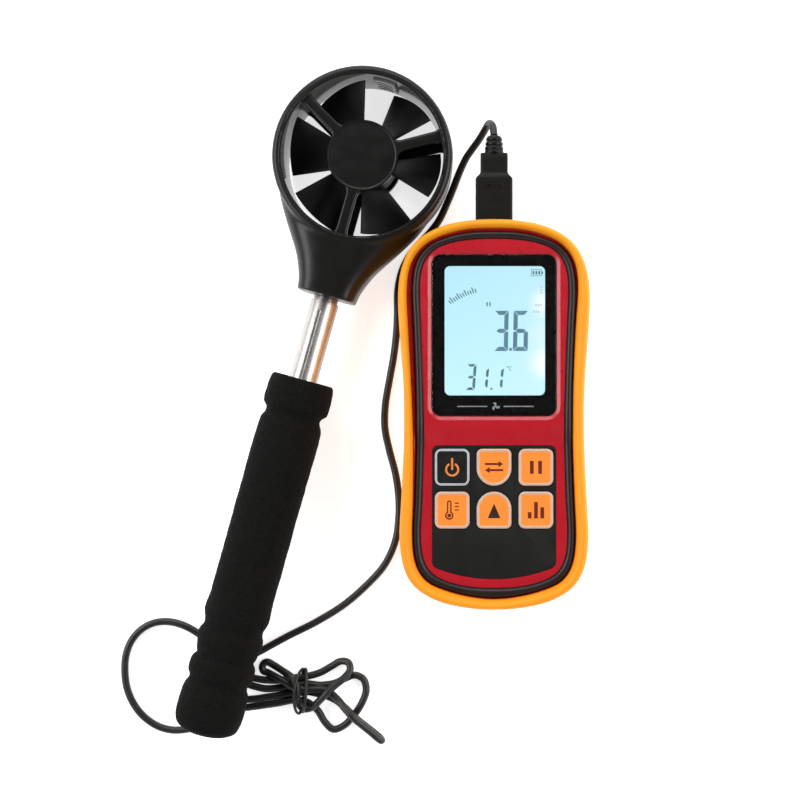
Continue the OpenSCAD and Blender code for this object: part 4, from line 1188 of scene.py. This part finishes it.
def build_head():
    outer = [(HEAD_R + r, z) for r, z in RING]
    ring = lathe("ring", outer + [(31, 14), (31, -14)], PROBE, 192)
    path = smooth_path(NECK, 6)
    neck = open_loft("neck", [superellipse(p.y, p.z, -p.x) for p in path], PROBE)
    body = join("head_shape", [ring, neck])
    modifier(body, "REMESH", mode="VOXEL", voxel_size=0.0006, use_smooth_shade=True)
    modifier(body, "SMOOTH", factor=0.5, iterations=14)
    applied(body)
    cut(body, lathe("tool", [(0, -20), (37.5, -20), (35.1, -14.2), (34.5, -13.6), (34.05, -12.4), (34.0, -12),
        (34.0, 12.6), (34.08, 13.2), (34.4, 13.8), (35.0, 14.25), (37.5, 20), (0, 20)], PROBE, 256,
        sharp=40))
    hole = lathe("tool", [(0, 45), (4.45, 45), (4.45, 59.6), (5.6, 60.3), (6.6, 62), (0, 62)], PROBE, 64,
        axis="y")
    cut(body, hole)
    # pocket for the temperature sensor, opposite the neck
    cut(body, open_loft("tool", [[(-5, y, -8), (5, y, -8), (5, y, 8), (-5, y, 8)] for y in (32, 36.2)],
        PROBE))
    rear = body.copy()
    rear.data = body.data.copy()
    rear.name = "head_rear_shape"
    scene.collection.objects.link(rear)
    body.name = "head_front_shape"
    for ob, z0, z1, node in ((body, 0.05, 30, "head_front"), (rear, -30, -0.05, "head_rear")):
        box = open_loft("tool", [[(-60, y, z0), (60, y, z0), (60, y, z1), (-60, y, z1)] for y in (-90, 60)],
            PROBE)
        cut(ob, box, "INTERSECT", sharp=38)
        dress(ob, "head", "head_black", nodes=[node])


def build_spider(name, side):
    """Hub and three spokes of one half of the head."""
    place = PROBE if side > 0 else PROBE @ Matrix.Scale(-1, 4, (0, 0, 1))
    hub = [(3.0, 9.7), (3.0, 11.4), (0, 11.4), (0, 13.0), (4, 12.98), (8, 12.9), (11, 12.78), (12.9, 12.62),
        (13.6, 12.56), (13.95, 12.62), (14.2, 12.78), (14.5, 12.8), (14.75, 12.6), (14.9, 12.2),
        (14.95, 11.6), (14.9, 10.1), (14.5, 9.7)]
    parts = [lathe("hub", hub, place, 128, sharp=40)]
    section = [(-2.35, 10.0), (-2.35, 11.5), (-2.2, 12.05), (-1.85, 12.4), (-1.3, 12.5), (0, 12.52),
        (1.3, 12.5), (1.85, 12.4), (2.2, 12.05), (2.35, 11.5), (2.35, 10.0), (2.0, 9.7), (-2.0, 9.7)]
    for a in (30, 150, 270):
        spin = Matrix.Rotation(radians(a), 4, "Z")
        rings = []
        for k in range(25):
            t = k / 24
            x = HUB_R + (SPOKE_END - HUB_R) * t
            flare = 1 + 0.6 * max(0, 1 - (x - 14.4) / 3.4) ** 2.4 + 0.3 * max(0, (x - 31.2) / 2.8) ** 2
            rings.append([(x, y * flare, z) for y, z in section])
        parts.append(open_loft("spoke", rings, place @ spin, 60))
    hub_ob = parts[0]
    for spoke in parts[1:]:
        cut(hub_ob, spoke, "UNION")
    hub_ob.name = name
    finish_mesh(hub_ob.data, 40)
    clean(hub_ob.data)
    return dress(hub_ob, "head", "head_black", "spoke_black", ["head_front" if side > 0 else "head_rear"])


def build_impeller():
    """Hub and six twisted blades."""
    hub = lathe("impeller_shape", [(1.0, -8.6), (1.0, 8.6), (5, 8.6), (12.4, 8.6), (13.2, 8.35), (13.6, 7.7),
        (13.6, -7.7), (13.2, -8.35), (12.4, -8.6), (5, -8.6)], PROBE, 120, sharp=40)
    half, turn, thick = 8.8, radians(40), 1.1
    n, m = 18, 10
    for b in range(6):
        start = radians(44 + 60 * b)

        def point(u, v):
            r = BLADE_ROOT + v * (BLADE_TIP - BLADE_ROOT)
            a = start + u * turn
            return Vector((r * cos(a), r * sin(a), half * (1 - 2 * u)))

        verts, faces = [], []
        for s in (-1, 1):
            for i in range(n + 1):
                for j in range(m + 1):
                    u, v = i / n, j / m
                    e = 0.01
                    nrm = (point(u + e, v) - point(u, v)).cross(point(u, v + e) - point(u, v)).normalized()
                    # thinner towards the two edges
                    t = thick / 2 * (0.42 + 0.58 * sqrt(max(0, 1 - abs(2 * u - 1) ** 6)))
                    verts.append(point(u, v) + s * t * nrm)
        k = (n + 1) * (m + 1)

        def at(i, j, s):
            return s * k + i * (m + 1) + j

        for i in range(n):
            for j in range(m):
                faces.append((at(i, j, 0), at(i + 1, j, 0), at(i + 1, j + 1, 0), at(i, j + 1, 0)))
                faces.append((at(i, j, 1), at(i, j + 1, 1), at(i + 1, j + 1, 1), at(i + 1, j, 1)))
        for i in range(n):
            faces.append((at(i, 0, 0), at(i, 0, 1), at(i + 1, 0, 1), at(i + 1, 0, 0)))
            faces.append((at(i, m, 0), at(i + 1, m, 0), at(i + 1, m, 1), at(i, m, 1)))
        for j in range(m):
            faces.append((at(0, j, 0), at(0, j + 1, 0), at(0, j + 1, 1), at(0, j, 1)))
            faces.append((at(n, j, 0), at(n, j, 1), at(n, j + 1, 1), at(n, j + 1, 0)))
        cut(hub, new_object("blade", verts, faces, PROBE), "UNION")
    finish_mesh(hub.data, 36)
    return dress(hub, "impeller", "vane_black", nodes=["impeller"])


build_head()
build_spider("front_spider", 1)
build_spider("rear_spider", -1)
build_impeller()
refine("vent_cover", 0.12, 2, material="duct_grey")
refine("thermistor", 0.25, 3, angle=40)

# ---------- pieces kept from the CAD model
for name in ("door_screw", "case_screws", "board_screws", "head_screws"):
    refine(name, 0.12, 2, angle=40)
for name in ("battery", "battery_snap", "buzzer", "board_chips", "lcd_frame", "backlight", "main_board"):
    refine(name, 0.2, 2, angle=40)
for node, ob in frame["nodes"].items():
    if node != "lcd_glass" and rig.alive(ob):
        paint(ob, SLOT[node])

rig.cord(cord, exit=tuple(Vector(LOOP[-1]) * MM), length=round(cord_length, 3), diameter=CORD_D * MM,
    far_end="plug", stiffness="limp", lay="loose", with_pieces=plug_parts + [tie])


# ---------- table, light
FLOOR_HALF = 3000


def add_stage():
    h = FLOOR_HALF
    floor = new_object("floor", [(-h, -h, 0), (h, -h, 0), (h, h, 0), (-h, h, 0)], [(0, 1, 2, 3)])
    n = Nodes("table")
    n.feed(n.drift(60, (0.90, 0.90, 0.90), (0.93, 0.93, 0.93), 2), "Base Color")
    n.set(Roughness=0.9, Specular_IOR_Level=0.1, Emission_Strength=0.72)
    n.bsdf.inputs["Emission Color"].default_value = (1, 1, 1, 1)
    floor.data.materials.append(n.mat)
    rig.stage(floor)


LIGHT_AIM = Vector((-0.05, 0, 0))


def add_light(name, at, size, power):
    data = bpy.data.lights.new(name, "AREA")
    data.shape = "RECTANGLE"
    data.size, data.size_y = size
    data.energy = power
    ob = add_object(name, data)
    ob.location = at
    ob.rotation_euler = (LIGHT_AIM - Vector(at)).to_track_quat("-Z", "Y").to_euler()


def add_world():
    world = bpy.data.worlds.new("studio")
    scene.world = world
    world.use_nodes = True
    tree = world.node_tree
    back = tree.nodes["Background"]
    co = tree.nodes.new("ShaderNodeTexCoord")
    sep = tree.nodes.new("ShaderNodeSeparateXYZ")
    ramp = tree.nodes.new("ShaderNodeValToRGB")
    tree.links.new(co.outputs["Generated"], sep.inputs[0])
    tree.links.new(sep.outputs["Z"], ramp.inputs["Fac"])
    e = ramp.color_ramp.elements
    e[0].position, e[0].color = 0.0, (1.0, 1.0, 1.0, 1)
    e[1].position, e[1].color = 1.0, (0.05, 0.05, 0.05, 1)
    for at, level in ((0.45, 0.9), (0.72, 0.40), (0.88, 0.10)):
        e.new(at).color = (level, level, level, 1)
    tree.links.new(ramp.outputs["Color"], back.inputs["Color"])
    back.inputs["Strength"].default_value = 0.75


add_stage()
add_world()
add_light("left_box", (-0.78, 0.12, 0.62), (0.9, 0.34), 6.0)
add_light("right_box", (0.72, 0.05, 0.62), (0.9, 0.34), 5.2)
add_light("top_box", (-0.1, 0.85, 0.6), (0.8, 0.3), 3.8)
scene.view_settings.view_transform = "Standard"

with open("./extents.json", "w") as f:
    json.dump({"cad": cad_box, "visual": [list(c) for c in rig.bounds()]}, f)
